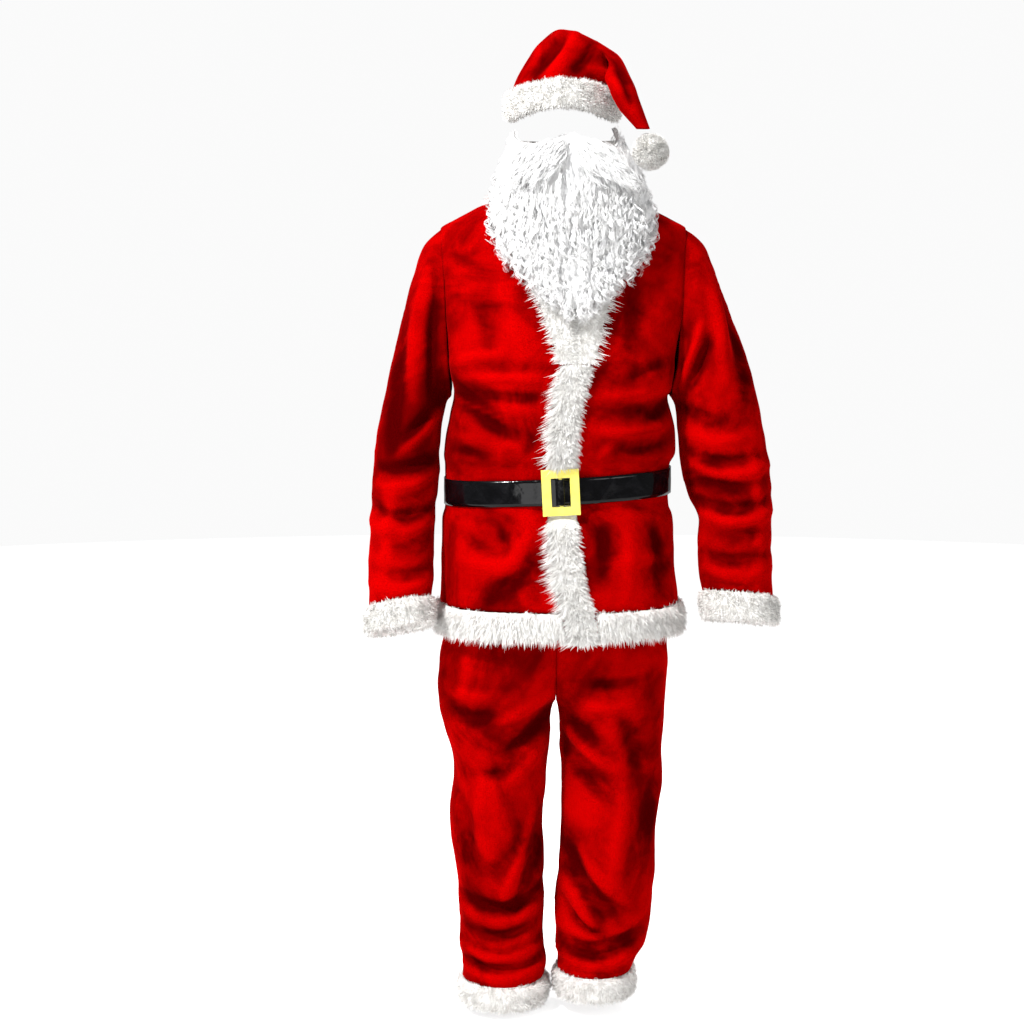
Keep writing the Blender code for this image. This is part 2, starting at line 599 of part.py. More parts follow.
def jacket_front(name, side):
    """One front, from the centre front and neck to the side seam, armhole and shoulder seam."""
    below = [(float(centre_front(z)), z) for z in SIDE_ROWS + CENTRE_ROWS]
    edge = np.array(below + list(neckline(side, len(ROW_Z) - len(below))))
    inner = np.stack([torso_u(edge[:, 0], edge[:, 1]), edge[:, 1]], axis=1)
    outer = [(side, z) for z in ROW_Z]
    start = float(inner[0, 0])

    def hem(s):
        return start + s * (side - start), HEM_Z + 0 * s

    def shoulder(s):
        x = side * (NECK_SIDE_X + s * (SHOULDER_X - NECK_SIDE_X))
        z = shoulder_z(x)
        return torso_u(x, z), z

    u, z = patch(hem, shoulder, inner, outer, 9)
    points = on_torso(torso_x(u, z), z, "front")
    points[-1, :, 1] = -SEAM / 2
    normals = torso_normal(points)
    points = trimmed(folded(points, normals), SEAM / 2)
    points[..., 1] -= SEAM / 2
    return wall(name, points, normals, CLOTH, "velour_red")


def jacket_back():
    def neck_and_shoulders(s):
        x = (2 * s - 1) * SHOULDER_X
        neck = BACK_NECK_Z + (NECK_SIDE_Z - BACK_NECK_Z) * (x / NECK_SIDE_X) ** 2
        z = np.where(np.abs(x) > NECK_SIDE_X, shoulder_z(x), neck)
        return torso_u(x, z), z

    def hem(s):
        return 2 * s - 1, HEM_Z + 0 * s

    u, z = patch(hem, neck_and_shoulders, [(-1, z) for z in ROW_Z], [(1, z) for z in ROW_Z], 17)
    points = on_torso(torso_x(u, z), z, "back")
    points[..., 1] = np.maximum(points[..., 1], 0)
    normals = torso_normal(points + np.array([0, SEAM, 0]))
    points = trimmed(folded(points, normals), SEAM / 2)
    points[..., 1] += SEAM / 2
    return wall("jacket_back", points, normals, CLOTH, "velour_red")


# ---------------------------------------------------------------- tubes: sleeves and hat
def tube_ring(table, v, angle):
    """Points of a tube at row number v. Angle 0 is the outer outline, 90 degrees the front."""
    row = table.read(v)
    flat = 0 * row["y"]
    out = np.stack([row["out_x"], flat, row["out_z"]], -1)
    into = np.stack([row["in_x"], flat, row["in_z"]], -1)
    pitch = np.radians(row.get("pitch", flat))
    deep = row["depth"][..., None] * np.stack([flat, -np.cos(pitch), np.sin(pitch)], -1)
    rise = np.where(np.sin(angle) > 0, row.get("front", flat), row.get("back", flat)) * np.sin(angle) ** 2
    centre = (out + into) / 2 + stack(flat, row["y"], rise)
    return centre + (out - into) / 2 * np.cos(angle)[..., None] + deep * np.sin(angle)[..., None]


def armhole(side, angle):
    z = (SHOULDER_Z + ARMPIT_Z) / 2 + (SHOULDER_Z - ARMPIT_Z) / 2 * np.cos(angle)
    centre, _, _, _, cut = torso(z)
    x = centre + side * cut
    front, back = on_torso(x, z, "front"), on_torso(x, z, "back")
    return np.where((np.sin(angle) > 0)[..., None], front, back)


def ring_normals(points):
    around = np.roll(points, -1, 1) - np.roll(points, 1, 1)
    along = np.gradient(points, axis=0)
    normals = unit(np.cross(along, around))
    return normals * np.sign(((points - points.mean(1, keepdims=True)) * normals).sum())


def sleeve(name, table, side):
    """A sleeve whose first ring has the same points as the panels round the armhole."""
    angles = np.arange(2 * ARMHOLE_ROWS) / ARMHOLE_ROWS * math.pi
    v, angle = np.meshgrid(np.arange(len(table.rows), dtype=float), angles, indexing="ij")
    points = tube_ring(table, v, angle)
    points[0] = armhole(side, angle[0])
    normals = ring_normals(points)
    own = normals[0].copy()
    normals[0] = torso_normal(points[0])
    points = folded(points, normals)
    low = ((1 - np.cos(angles)) / 2)[:, None]   # in the armpit the two walls part like a V
    normals[0] = unit((1 - low) * normals[0] + low * own)
    points[0] += 2 * SEAM * unit(points[0].mean(0) - points[0]) + 2 * SEAM * np.array([side, 0, 0])
    wall(name, points, normals, CLOTH, "velour_red", ring=True)
    return points


def fur_ring(name, edge, along, width, pile, roll):
    """A fur trim on the end of a tube: a rounded section carried round the edge."""
    middle = edge.mean(0)
    outwards = edge - middle - ((edge - middle) @ along)[:, None] * along
    profile = [(-roll, 0.04), (-roll, 0.5), (-0.5 * roll, 0.96), (0.35 * pile, 1.0), (0.85 * pile, 0.86),
               (pile, 0.5), (0.85 * pile, 0.14), (0.3 * pile, 0.0)]
    rings = [edge + unit(outwards) * (off - CLOTH) + along * (SEAM + down * width) for off, down in profile]
    return swept(name, np.stack(rings, axis=1), "fur_white", ring=True)


# ---------------------------------------------------------------- trousers
class Leg(Table):
    """A leg's table, read by height from the ankle up."""

    def __init__(self, table, side):
        names, rows = table
        super().__init__((names, rows[::-1]))
        self.side = side

    def at(self, z):
        row = self.read(z, "z")
        centre = (row["outer"] + row["inner"]) / 2
        return centre, np.abs(row["outer"] - row["inner"]) / 2, row["y"], row["depth"]

    def points(self, share, z, sheet):
        """share runs from the inner or centre seam, 0, to the side seam, 1."""
        centre, half, middle, depth = self.at(z)
        first = np.arccos(np.clip((CROTCH_X - centre) * -self.side / half, -1, 1))
        angle = first + share * (math.pi - first)
        x = centre - self.side * half * np.cos(angle)
        return stack(x, middle + depth * np.sin(angle) * (1 if sheet == "back" else -1), z)

    def normals(self, points):
        def level(p):
            centre, half, middle, depth = self.at(p[..., 2])
            return ((p[..., 0] - centre) / half) ** 2 + ((p[..., 1] - middle) / depth) ** 2

        return steepest(level, points)


right_leg, left_leg = Leg(RIGHT_LEG, -1), Leg(LEFT_LEG, 1)
LEG_ROWS = (0, 0.035, 0.08, 0.13, 0.19, 0.25, 0.31, 0.37, 0.43, 0.48, 0.525, 0.56, 0.62, 0.72, 0.86, 1.0)


def trouser_panel(name, leg, sheet):
    low, high = leg.columns["z"][0], WAIST_Z - WAISTBAND_HEIGHT - 2 * SEAM
    share, z = np.meshgrid(np.linspace(0, 1, 9), low + np.array(LEG_ROWS) * (high - low))
    points = leg.points(share, z, sheet)
    normals = leg.normals(points)
    points = trimmed(folded(points, normals), SEAM / 2)
    points[:, 0, 0] = leg.side * np.maximum(leg.side * points[:, 0, 0], leg.side * CROTCH_X + SEAM)
    points[..., 1] += SEAM * (1 if sheet == "back" else -1)
    return wall(name, points, normals, CLOTH, "velour_red")


def ankle_trim(name, leg):
    share = np.linspace(0, 1, 9)
    low = np.array(leg.columns["z"][0])
    front = leg.points(share, low, "front")
    back = leg.points(share[::-1][1:-1], low, "back")
    down = np.array([0, 0, -1.0])
    fur_ring(name, np.concatenate([front, back]), down, ANKLE_WIDTH, ANKLE_PILE, FUR_ROLL)


def waistband(around=24):
    angles = np.arange(around) / around * 2 * math.pi
    points = []
    for z in (WAIST_Z - WAISTBAND_HEIGHT, WAIST_Z - WAISTBAND_HEIGHT / 2, WAIST_Z):
        centre, half, middle, depth = right_leg.at(np.array(z))
        points.append(stack(centre + half * np.cos(angles), middle + depth * np.sin(angles), z))
    points = np.array(points)
    return wall("waistband", points, ring_normals(points), ELASTIC, "velour_red", ring=True)


# ---------------------------------------------------------------- strips of fur on the jacket
def strip(name, points, thick, below):
    """A strip lying on the cloth: its form below, domed above. Points run along it and across it."""
    normals = torso_normal(points)
    points = laid_on(folded(points, normals), normals, below)
    across = np.linspace(-1, 1, points.shape[1])
    dome = np.asarray(thick)[..., None] * (0.35 + 0.65 * (1 - across ** 4))
    above = points + np.broadcast_to(dome, points.shape[:2])[..., None] * normals
    return swept(name, np.concatenate([points, above[:, ::-1]], axis=1), "fur_white", ring=False)


def band_edge(z, sign):
    row = band_table.read(np.asarray(z, float), "z")
    return row["x"] + sign * row["half"]


def front_band():
    """The fur down the centre front, pressed flat under the belt and its buckle."""
    heights = np.array([-0.757, -0.738, -0.715, -0.685, -0.650, -0.610, -0.575, -0.555, -0.537, -0.489,
                        -0.441, -0.423, -0.400, -0.370, -0.335, -0.300, -0.2702])
    x = np.linspace(band_edge(heights, -1), band_edge(heights, 1), 5, axis=1)
    points = on_torso(x, heights[:, None], "front")
    free = ease((np.abs(heights - BELT_Z) - 0.048) / 0.034)
    strip("front_band", points, 0.002 + (FUR_PILE - 0.002) * free, surface_of(*PANELS))


def neck_band():
    share = np.linspace(0, 1, 4)
    rows = []
    for sheet, in_x, in_z, out_x, out_z in NECK_BAND[1]:
        x, z = in_x + share * (out_x - in_x), in_z + share * (out_z - in_z)
        row = on_torso(x, z, "back" if sheet == "back" else "front")
        rows.append(row * np.array([1, 0, 1]) if sheet == "ridge" else row)
    strip("neck_band", np.array(rows), FUR_PILE, surface_of(*PANELS))


def hem_trim(around=40):
    """Fur round the hem, open at the front, where its ends follow the edges of the front band."""
    low = np.array(HEM_Z)
    ends = [float(torso_u(band_edge(HEM_Z, sign) + sign * BAND_GAP, low)) for sign in (1, -1)]
    parts = [
        (np.linspace(ends[0], 1, around // 4), "front"),
        (np.linspace(1, -1, around // 2)[1:-1], "back"),
        (np.linspace(-1, ends[1], around // 4), "front"),
    ]
    edge = np.concatenate([on_torso(torso_x(u, low), low, sheet) for u, sheet in parts])
    outwards = unit(torso_normal(edge) * np.array([1, 1, 0]))
    profile = [(-0.5, 0.0), (-0.55, 0.5), (-0.4, 0.95), (0.35, 1.0),
               (0.9, 0.85), (1.0, 0.5), (0.9, 0.15), (0.3, 0.0)]
    sections = []
    for off, share in profile:
        ring = edge + outwards * off * FUR_PILE
        ring[:, 2] = HEM_Z - SEAM - share * TRIM_WIDTH
        for end, sign in ((0, 1), (-1, -1)):
            ring[end, 0] = band_edge(ring[end, 2], sign) + sign * BAND_GAP
        sections.append(ring)
    return swept("hem_trim", np.stack(sections, axis=1), "fur_white", ring=False)


# ---------------------------------------------------------------- belt
def belt_strap(around=48):
    """The strap, a closed loop that lies on the jacket and on the front band."""
    half_way = np.linspace(-1, 1, around // 2 + 1)
    at_belt = np.array(BELT_Z)
    front = on_torso(torso_x(half_way[:-1], at_belt), at_belt, "front")
    back = on_torso(torso_x(half_way[:0:-1], at_belt), at_belt, "back")
    line = np.concatenate([front, back])
    normals = unit(torso_normal(line) * np.array([1, 1, 0]))
    points = np.stack([line] * 3)
    for k, share in enumerate((-0.5, 0, 0.5)):
        points[k, :, 2] = BELT_Z + BELT_TILT * line[:, 0] + share * BELT_WIDTH
    normals = np.broadcast_to(normals, points.shape)
    points = laid_on(points, normals, surface_of(*PANELS, "front_band"), ring=True)
    points[:] = np.where(
        (points * normals).sum(-1).max(0)[None, :, None] > 0,
        points + ((points * normals).sum(-1).max(0)[None] - (points * normals).sum(-1))[..., None] * normals,
        points,
    )
    return wall("belt_strap", points + BELT_THICK * normals, normals, BELT_THICK, "vinyl_black", ring=True)


def box(name, size, slot):
    bpy.ops.mesh.primitive_cube_add(size=1)
    obj = bpy.context.active_object
    obj.name = obj.data.name = name
    obj.scale = size
    bpy.ops.object.transform_apply(location=False, rotation=False, scale=True)
    for collection in list(obj.users_collection):
        collection.objects.unlink(obj)
    bpy.data.collections["santa_suit"].objects.link(obj)
    obj.data.materials.append(material(slot))
    return obj


def helper(obj, target, operation):
    """Hides an object and lets it cut or join its target."""
    bpy.data.collections["santa_suit"].objects.unlink(obj)
    bpy.data.collections["cutters"].objects.link(obj)
    obj.hide_render = True
    obj.display_type = "WIRE"
    boolean = target.modifiers.new(obj.name, "BOOLEAN")
    boolean.operation = operation
    boolean.solver = "EXACT"
    boolean.object = obj


def buckle():
    """The moulded frame with its bar, and the strap's end folded over the bar."""
    strap = np.array([v.co for v in bpy.data.objects["belt_strap"].data.vertices])
    near = np.abs(strap[:, 0] - BUCKLE_X) < BUCKLE_WIDTH
    face = strap[near, 1].min() - CLEAR
    middle = Vector((BUCKLE_X, face, BELT_Z + BELT_TILT * BUCKLE_X))
    tilt = (0, -math.atan(BELT_TILT), 0)
    bar_y = -0.0033

    frame = box("buckle", (BUCKLE_WIDTH, BUCKLE_THICK, BUCKLE_HEIGHT), "plastic_yellow")
    window = box("buckle_window", (WINDOW_WIDTH, BUCKLE_THICK * 3, WINDOW_HEIGHT), "plastic_yellow")
    bar = box("buckle_bar", (BAR_WIDTH, BAR_THICK, WINDOW_HEIGHT + 0.008), "plastic_yellow")
    helper(window, frame, "DIFFERENCE")
    helper(bar, frame, "UNION")
    edges = frame.modifiers.new("edges", "BEVEL")
    edges.width = 0.0010
    edges.segments = 2
    edges.limit_method = "ANGLE"
    for obj in (frame, window):
        obj.location = middle + Vector((0, -BUCKLE_THICK / 2, 0))
        obj.rotation_euler = tilt
    bar.location = middle + Vector((0, bar_y, 0))
    bar.rotation_euler = tilt

    outline = np.array(BELT_END)
    levels = []
    for share in (-0.5, 0.5):
        z = np.full(len(outline), share * (BELT_WIDTH - 0.001))
        levels.append(stack(outline[:, 0], outline[:, 1] + bar_y, z))
    end = new_object("belt_end", *prism(levels), "vinyl_black")
    end.location = middle
    end.rotation_euler = tilt
    return frame


def prism(levels):
    """(points, faces) of a solid between two copies of one outline."""
    count = len(levels[0])
    faces = [tuple(range(count)), tuple(range(2 * count - 1, count - 1, -1))]
    faces += [(i, i + count, (i + 1) % count + count, (i + 1) % count) for i in range(count)]
    return np.concatenate(levels), faces


# ---------------------------------------------------------------- hat
def hat(around=16):
    table = Table(HAT)
    angles = np.arange(around) / around * 2 * math.pi
    levels = np.arange(len(table.rows), dtype=float)
    v, angle = np.meshgrid(levels, angles, indexing="ij")
    points = tube_ring(table, v, angle)
    normals = ring_normals(points)
    wall("hat_crown", points, normals, CLOTH, "velour_red", ring=True)
    fur_ring("hat_brim", points[0], np.array([0, 0, -1.0]), BRIM_HEIGHT, BRIM_PILE, FUR_ROLL)


def pompom():
    ball = bmesh.new()
    bmesh.ops.create_icosphere(ball, subdivisions=2, radius=POMPOM_RADIUS)
    mesh = bpy.data.meshes.new("hat_pompom")
    ball.to_mesh(mesh)
    ball.free()
    mesh.materials.append(material("fur_white"))
    mesh.shade_smooth()
    obj = bpy.data.objects.new("hat_pompom", mesh)
    obj.location = POMPOM_AT
    bpy.data.collections["santa_suit"].objects.link(obj)
    return obj


# ---------------------------------------------------------------- beard
beard_table = Table(BEARD)
beard_edges = Table(BEARD_EDGES)


def on_beard(share, z):
    """A point of the beard's face: share of the half width from -1 to 1."""
    row = beard_table.read(z, "z")
    turn = share * math.pi / 2
    x = row["centre"] + row["half"] * np.sin(turn)
    return stack(x, row["side"] + (row["front"] - row["side"]) * np.cos(turn), z)


def beard():
    share, up = np.meshgrid(np.linspace(-1, 1, 15), np.linspace(0, 1, 9))
    edges = beard_edges.read(share, "share")
    points = on_beard(share, edges["bottom"] + up * (edges["top"] - edges["bottom"]))
    normals = unit(np.cross(np.gradient(points, axis=1), np.gradient(points, axis=0)))
    return wall("beard", points, normals, BEARD_THICK, "curls_white")


def beard_strap(around=20):
    """The elastic that holds the beard on, from ear to ear behind the head."""
    ends = on_beard(np.array([-1.0, 1.0]), np.array([0.118, 0.118]))
    middle, half = ends.mean(0), (ends[1, 0] - ends[0, 0]) / 2 - 0.004
    turn = np.linspace(-0.5, 0.5, around) * math.pi
    start = middle[1] + 0.010
    line = stack(middle[0] + half * np.sin(turn), start + (STRAP_BACK_Y - start) * np.cos(turn), 0)
    points = np.array([line + np.array([0, 0, 0.110 + level * STRAP_WIDTH]) for level in (0, 1)])
    normals = unit(stack(np.sin(turn) / half, np.cos(turn) / STRAP_BACK_Y, 0 * turn))
    return wall("beard_strap", points, np.broadcast_to(normals, points.shape), STRAP_THICK, "elastic_white")


# ---------------------------------------------------------------- the suit
def clear_scene():
    for obj in list(bpy.data.objects):
        bpy.data.objects.remove(obj)
    for name in ("santa_suit", "cutters"):
        made = bpy.data.collections.new(name)
        bpy.context.scene.collection.children.link(made)


def main():
    clear_scene()
    jacket_front("jacket_front_right", -1)
    jacket_front("jacket_front_left", 1)
    jacket_back()
    for name, rows, side in (("right", RIGHT_SLEEVE, -1), ("left", LEFT_SLEEVE, 1)):
        points = sleeve(f"sleeve_{name}", Table(rows), side)
        along = unit(points[-1].mean(0) - points[-2].mean(0))
        fur_ring(f"cuff_trim_{name}", points[-1], along, TRIM_WIDTH, FUR_PILE, FUR_ROLL)
    neck_band()
    front_band()
    hem_trim()
    belt_strap()
    buckle()
    for name, leg in (("right", right_leg), ("left", left_leg)):
        trouser_panel(f"trouser_front_{name}", leg, "front")
        trouser_panel(f"trouser_back_{name}", leg, "back")
        ankle_trim(f"ankle_trim_{name}", leg)
    waistband()
    hat()
    pompom()
    beard()
    beard_strap()


main()
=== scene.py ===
"""Looks of the worn santa suit: velour, fur, curls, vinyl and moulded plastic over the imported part.

Metres, +Z up, the front faces -Y and the wearer's right side is at -X. Every cloth piece is a thin shell
on the same form as its solid, with finer folds. Fur and curls are hairs joined to the piece they grow on.
"""

import json
import math

import bmesh
import bpy
import numpy as np
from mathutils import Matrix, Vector, noise
from mathutils.bvhtree import BVHTree


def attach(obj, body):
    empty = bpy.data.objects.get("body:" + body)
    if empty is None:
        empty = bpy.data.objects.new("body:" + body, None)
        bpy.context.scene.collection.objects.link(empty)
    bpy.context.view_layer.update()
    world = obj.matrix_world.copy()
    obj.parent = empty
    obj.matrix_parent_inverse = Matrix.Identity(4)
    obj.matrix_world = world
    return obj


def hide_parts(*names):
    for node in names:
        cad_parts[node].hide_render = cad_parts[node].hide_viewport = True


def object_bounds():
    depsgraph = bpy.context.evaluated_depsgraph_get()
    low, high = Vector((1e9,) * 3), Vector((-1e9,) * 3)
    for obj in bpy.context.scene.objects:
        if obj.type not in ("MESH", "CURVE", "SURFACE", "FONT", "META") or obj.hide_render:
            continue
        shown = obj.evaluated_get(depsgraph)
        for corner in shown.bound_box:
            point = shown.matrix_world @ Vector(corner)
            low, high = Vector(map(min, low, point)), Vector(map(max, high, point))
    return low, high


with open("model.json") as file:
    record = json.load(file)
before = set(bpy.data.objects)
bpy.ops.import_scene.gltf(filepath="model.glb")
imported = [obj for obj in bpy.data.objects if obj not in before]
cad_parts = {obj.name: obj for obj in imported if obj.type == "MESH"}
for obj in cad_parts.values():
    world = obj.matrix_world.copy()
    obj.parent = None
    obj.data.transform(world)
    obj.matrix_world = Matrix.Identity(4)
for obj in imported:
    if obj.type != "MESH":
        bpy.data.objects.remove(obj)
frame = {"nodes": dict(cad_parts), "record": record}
cad_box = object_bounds()

# ---------------------------------------------------------------- driving sizes
CLOTH = 0.002            # plush velour, with its backing
SEAM = 0.0003            # the gap that two sewn pieces keep
FUR_PILE = 0.012         # how far the fur of a trim stands off the cloth
FUR_ROLL = 0.006         # how far a trim's fur turns to the inside
TRIM_WIDTH = 0.050       # hem and cuff trims
ANKLE_WIDTH, ANKLE_PILE = 0.044, 0.013
TORSO_POWER = 2.3        # how square the torso's sections are; 2 is an ellipse

ARMPIT_Z, SHOULDER_Z, SHOULDER_X = -0.332, -0.0365, 0.2165
ARMHOLE_SWELL = 0.034    # how much wider than the panels the torso's form is, half way up the armhole
ARMHOLE_ROWS = 8
HEM_Z = -0.697
NECK_SIDE_X, NECK_SIDE_Z, BACK_NECK_Z = 0.084, 0.0275, 0.0175
NECK_UNDERLAP = 0.008    # how far the neck's fur reaches past the cloth's edge
V_POINT_Z = -0.188
BAND_GAP = 0.0025        # between the front band and the hem trim's ends

BELT_Z, BELT_TILT = -0.489, 0.050
BELT_WIDTH, BELT_THICK = 0.046, 0.002
BUCKLE_X = -0.006

CROTCH_X = -0.0125       # the plane of the trousers' centre seams
WAIST_Z, WAISTBAND_HEIGHT = -0.440, 0.040
ELASTIC = 0.003

BRIM_HEIGHT, BRIM_PILE = 0.050, 0.019
POMPOM_RADIUS = 0.0335
STRAP_WIDTH, STRAP_THICK, STRAP_BACK_Y = 0.012, 0.0015, 0.104

# ---------------------------------------------------------------- tables
# Torso sections: height, centre, half width, depth in front and behind.
TORSO = ("z centre half front back", [
    (-0.770, -0.006, 0.2150, 0.157, 0.137),
    (-0.697, -0.006, 0.2145, 0.160, 0.140),
    (-0.640, -0.008, 0.2105, 0.159, 0.138),
    (-0.580, -0.009, 0.2080, 0.153, 0.134),
    (-0.546, -0.009, 0.2060, 0.147, 0.130),
    (-0.525, -0.010, 0.1995, 0.141, 0.126),
    (-0.489, -0.0105, 0.1985, 0.140, 0.125),
    (-0.453, -0.009, 0.2000, 0.142, 0.126),
    (-0.432, -0.006, 0.2065, 0.152, 0.131),
    (-0.400, -0.004, 0.2045, 0.157, 0.134),
    (-0.365, -0.003, 0.1985, 0.156, 0.133),
    (-0.332, -0.003, 0.1925, 0.153, 0.132),
    (-0.270, -0.001, 0.2000, 0.148, 0.131),
    (-0.200, 0.000, 0.2050, 0.140, 0.128),
    (-0.150, 0.000, 0.2090, 0.131, 0.123),
    (-0.100, 0.000, 0.2120, 0.116, 0.113),
    (-0.060, 0.000, 0.2145, 0.101, 0.099),
    (-0.0365, 0.000, 0.2165, 0.090, 0.088),
    (-0.0190, 0.000, 0.1900, 0.083, 0.081),
    (-0.0020, 0.000, 0.1580, 0.076, 0.075),
    (0.0090, 0.000, 0.1300, 0.070, 0.070),
    (0.0250, 0.000, 0.0900, 0.063, 0.063),
    (0.0310, 0.000, 0.0780, 0.061, 0.061),
    (0.0550, 0.000, 0.0700, 0.058, 0.058),
])
# Heights of the panels' rows at the side seam, below the armhole.
SIDE_ROWS = (-0.697, -0.655, -0.605, -0.555, -0.525, -0.489, -0.453, -0.420, -0.376)
# Heights of the fronts' rows at the centre front, beside the armhole's lower half.
CENTRE_ROWS = (-0.330, -0.300, -0.268, -0.230)
# Centre front, which the front band covers: height, where it runs, half the band's width.
FRONT_BAND = ("z x half", [
    (-0.757, 0.0380, 0.0290),
    (-0.735, 0.0330, 0.0300),
    (-0.6875, 0.0225, 0.0280),
    (-0.650, 0.0120, 0.0275),
    (-0.618, 0.0060, 0.0275),
    (-0.549, -0.0010, 0.0280),
    (-0.489, -0.0020, 0.0280),
    (-0.428, 0.0000, 0.0265),
    (-0.393, 0.0010, 0.0270),
    (-0.341, 0.0070, 0.0280),
    (-0.300, 0.0150, 0.0290),
    (-0.270, 0.0215, 0.0292),
    (-0.180, 0.0195, 0.0200),
])
# The fur strip round the neck, right end to left end: its two edges, on the front or the back.
NECK_BAND = ("sheet in_x in_z out_x out_z", [
    ("front", 0.0190, -0.2690, -0.0075, -0.2690),
    ("front", 0.0190, -0.2420, -0.0160, -0.2420),
    ("front", 0.0190, -0.2130, -0.0255, -0.2130),
    ("front", 0.0188, -0.1850, -0.0345, -0.1870),
    ("front", 0.0085, -0.1540, -0.0440, -0.1600),
    ("front", -0.0050, -0.1230, -0.0550, -0.1310),
    ("front", -0.0190, -0.0930, -0.0690, -0.1030),
    ("front", -0.0350, -0.0580, -0.0840, -0.0720),
    ("front", -0.0520, -0.0220, -0.1010, -0.0400),
    ("front", -0.0670, 0.0080, -0.1140, -0.0120),
    ("front", -0.0735, 0.0230, -0.1215, 0.0030),
    ("ridge", -0.0770, 0.0310, -0.1260, 0.0106),
    ("back", -0.0730, 0.0295, -0.1180, -0.0020),
    ("back", -0.0620, 0.0265, -0.1040, -0.0180),
    ("back", -0.0340, 0.0225, -0.0580, -0.0300),
    ("back", 0.0000, 0.0215, 0.0000, -0.0340),
    ("back", 0.0340, 0.0225, 0.0580, -0.0300),
    ("back", 0.0620, 0.0265, 0.1040, -0.0180),
    ("back", 0.0730, 0.0295, 0.1180, -0.0020),
    ("ridge", 0.0770, 0.0310, 0.1260, 0.0106),
    ("front", 0.0740, 0.0230, 0.1230, 0.0030),
    ("front", 0.0690, 0.0060, 0.1190, -0.0140),
    ("front", 0.0600, -0.0350, 0.1140, -0.0540),
    ("front", 0.0500, -0.0720, 0.1040, -0.0940),
    ("front", 0.0400, -0.1080, 0.0920, -0.1270),
    ("front", 0.0300, -0.1430, 0.0790, -0.1560),
    ("front", 0.0202, -0.1850, 0.0690, -0.1880),
    ("front", 0.0200, -0.2130, 0.0640, -0.2130),
    ("front", 0.0200, -0.2420, 0.0570, -0.2420),
    ("front", 0.0200, -0.2690, 0.0500, -0.2690),
])
# Sleeves: the outer and the inner outline point of each ring, its centre's y and half depth, and
# how far its front is raised, in degrees. The first ring is the armhole.
RIGHT_SLEEVE = ("out_x out_z in_x in_z y depth pitch", [
    (-0.2165, -0.0365, -0.1960, -0.332, 0.000, 0.085, 0),
    (-0.2440, -0.0650, -0.2030, -0.340, 0.000, 0.087, 0),
    (-0.2640, -0.1180, -0.2070, -0.350, 0.000, 0.088, 0),
    (-0.2840, -0.1920, -0.2115, -0.370, 0.000, 0.086, 0),
    (-0.3020, -0.2620, -0.2150, -0.400, -0.001, 0.082, 1),
    (-0.3170, -0.3340, -0.2180, -0.440, -0.004, 0.078, 3),
    (-0.3300, -0.4100, -0.2225, -0.490, -0.010, 0.074, 6),
    (-0.3395, -0.4880, -0.2260, -0.540, -0.024, 0.070, 10),
    (-0.3430, -0.5630, -0.2260, -0.588, -0.044, 0.068, 13),
    (-0.3430, -0.6350, -0.2260, -0.640, -0.066, 0.066, 15),
    (-0.3400, -0.6990, -0.2300, -0.680, -0.088, 0.061, 16),
])
LEFT_SLEEVE = ("out_x out_z in_x in_z y depth pitch", [
    (0.2165, -0.0365, 0.1890, -0.332, 0.000, 0.085, 0),
    (0.2480, -0.0650, 0.1960, -0.342, 0.000, 0.088, 0),
    (0.2700, -0.1100, 0.2000, -0.354, 0.000, 0.090, 0),
    (0.2960, -0.1720, 0.2030, -0.374, 0.000, 0.089, 0),
    (0.3180, -0.2360, 0.2055, -0.400, -0.001, 0.086, 1),
    (0.3370, -0.3000, 0.2080, -0.434, -0.003, 0.083, 2),
    (0.3535, -0.3680, 0.2130, -0.470, -0.008, 0.080, 4),
    (0.3660, -0.4420, 0.2240, -0.510, -0.016, 0.077, 7),
    (0.3725, -0.5120, 0.2400, -0.552, -0.027, 0.074, 9),
    (0.3700, -0.5760, 0.2395, -0.594, -0.038, 0.072, 10),
    (0.3700, -0.6340, 0.2420, -0.640, -0.050, 0.069, 11),
    (0.3710, -0.6830, 0.2480, -0.6725, -0.062, 0.064, 12),
])
# Legs: height, outer and inner outline, the section's centre and half depth. An inner edge past the
# centre seams' plane is cut off there, which makes the seat and the crotch.
RIGHT_LEG = ("z outer inner y depth", [
    (-0.440, -0.178, 0.153, 0.000, 0.112),
    (-0.560, -0.188, 0.163, 0.000, 0.117),
    (-0.660, -0.203, 0.172, -0.001, 0.124),
    (-0.760, -0.2135, 0.140, -0.002, 0.128),
    (-0.800, -0.2225, 0.098, -0.003, 0.126),
    (-0.845, -0.2240, 0.040, -0.004, 0.121),
    (-0.885, -0.2215, -0.0123, -0.005, 0.115),
    (-0.930, -0.2125, -0.0205, -0.006, 0.110),
    (-0.983, -0.1985, -0.0255, -0.008, 0.102),
    (-1.019, -0.1965, -0.0280, -0.009, 0.097),
    (-1.071, -0.2030, -0.0300, -0.010, 0.094),
    (-1.127, -0.2010, -0.0322, -0.007, 0.092),
    (-1.181, -0.1925, -0.0328, -0.004, 0.091),
    (-1.235, -0.1880, -0.0328, -0.002, 0.089),
    (-1.290, -0.1850, -0.0316, -0.003, 0.087),
    (-1.328, -0.1850, -0.0302, -0.008, 0.086),
    (-1.355, -0.1790, -0.0262, -0.013, 0.084),
    (-1.382, -0.1800, -0.0320, -0.018, 0.085),
])
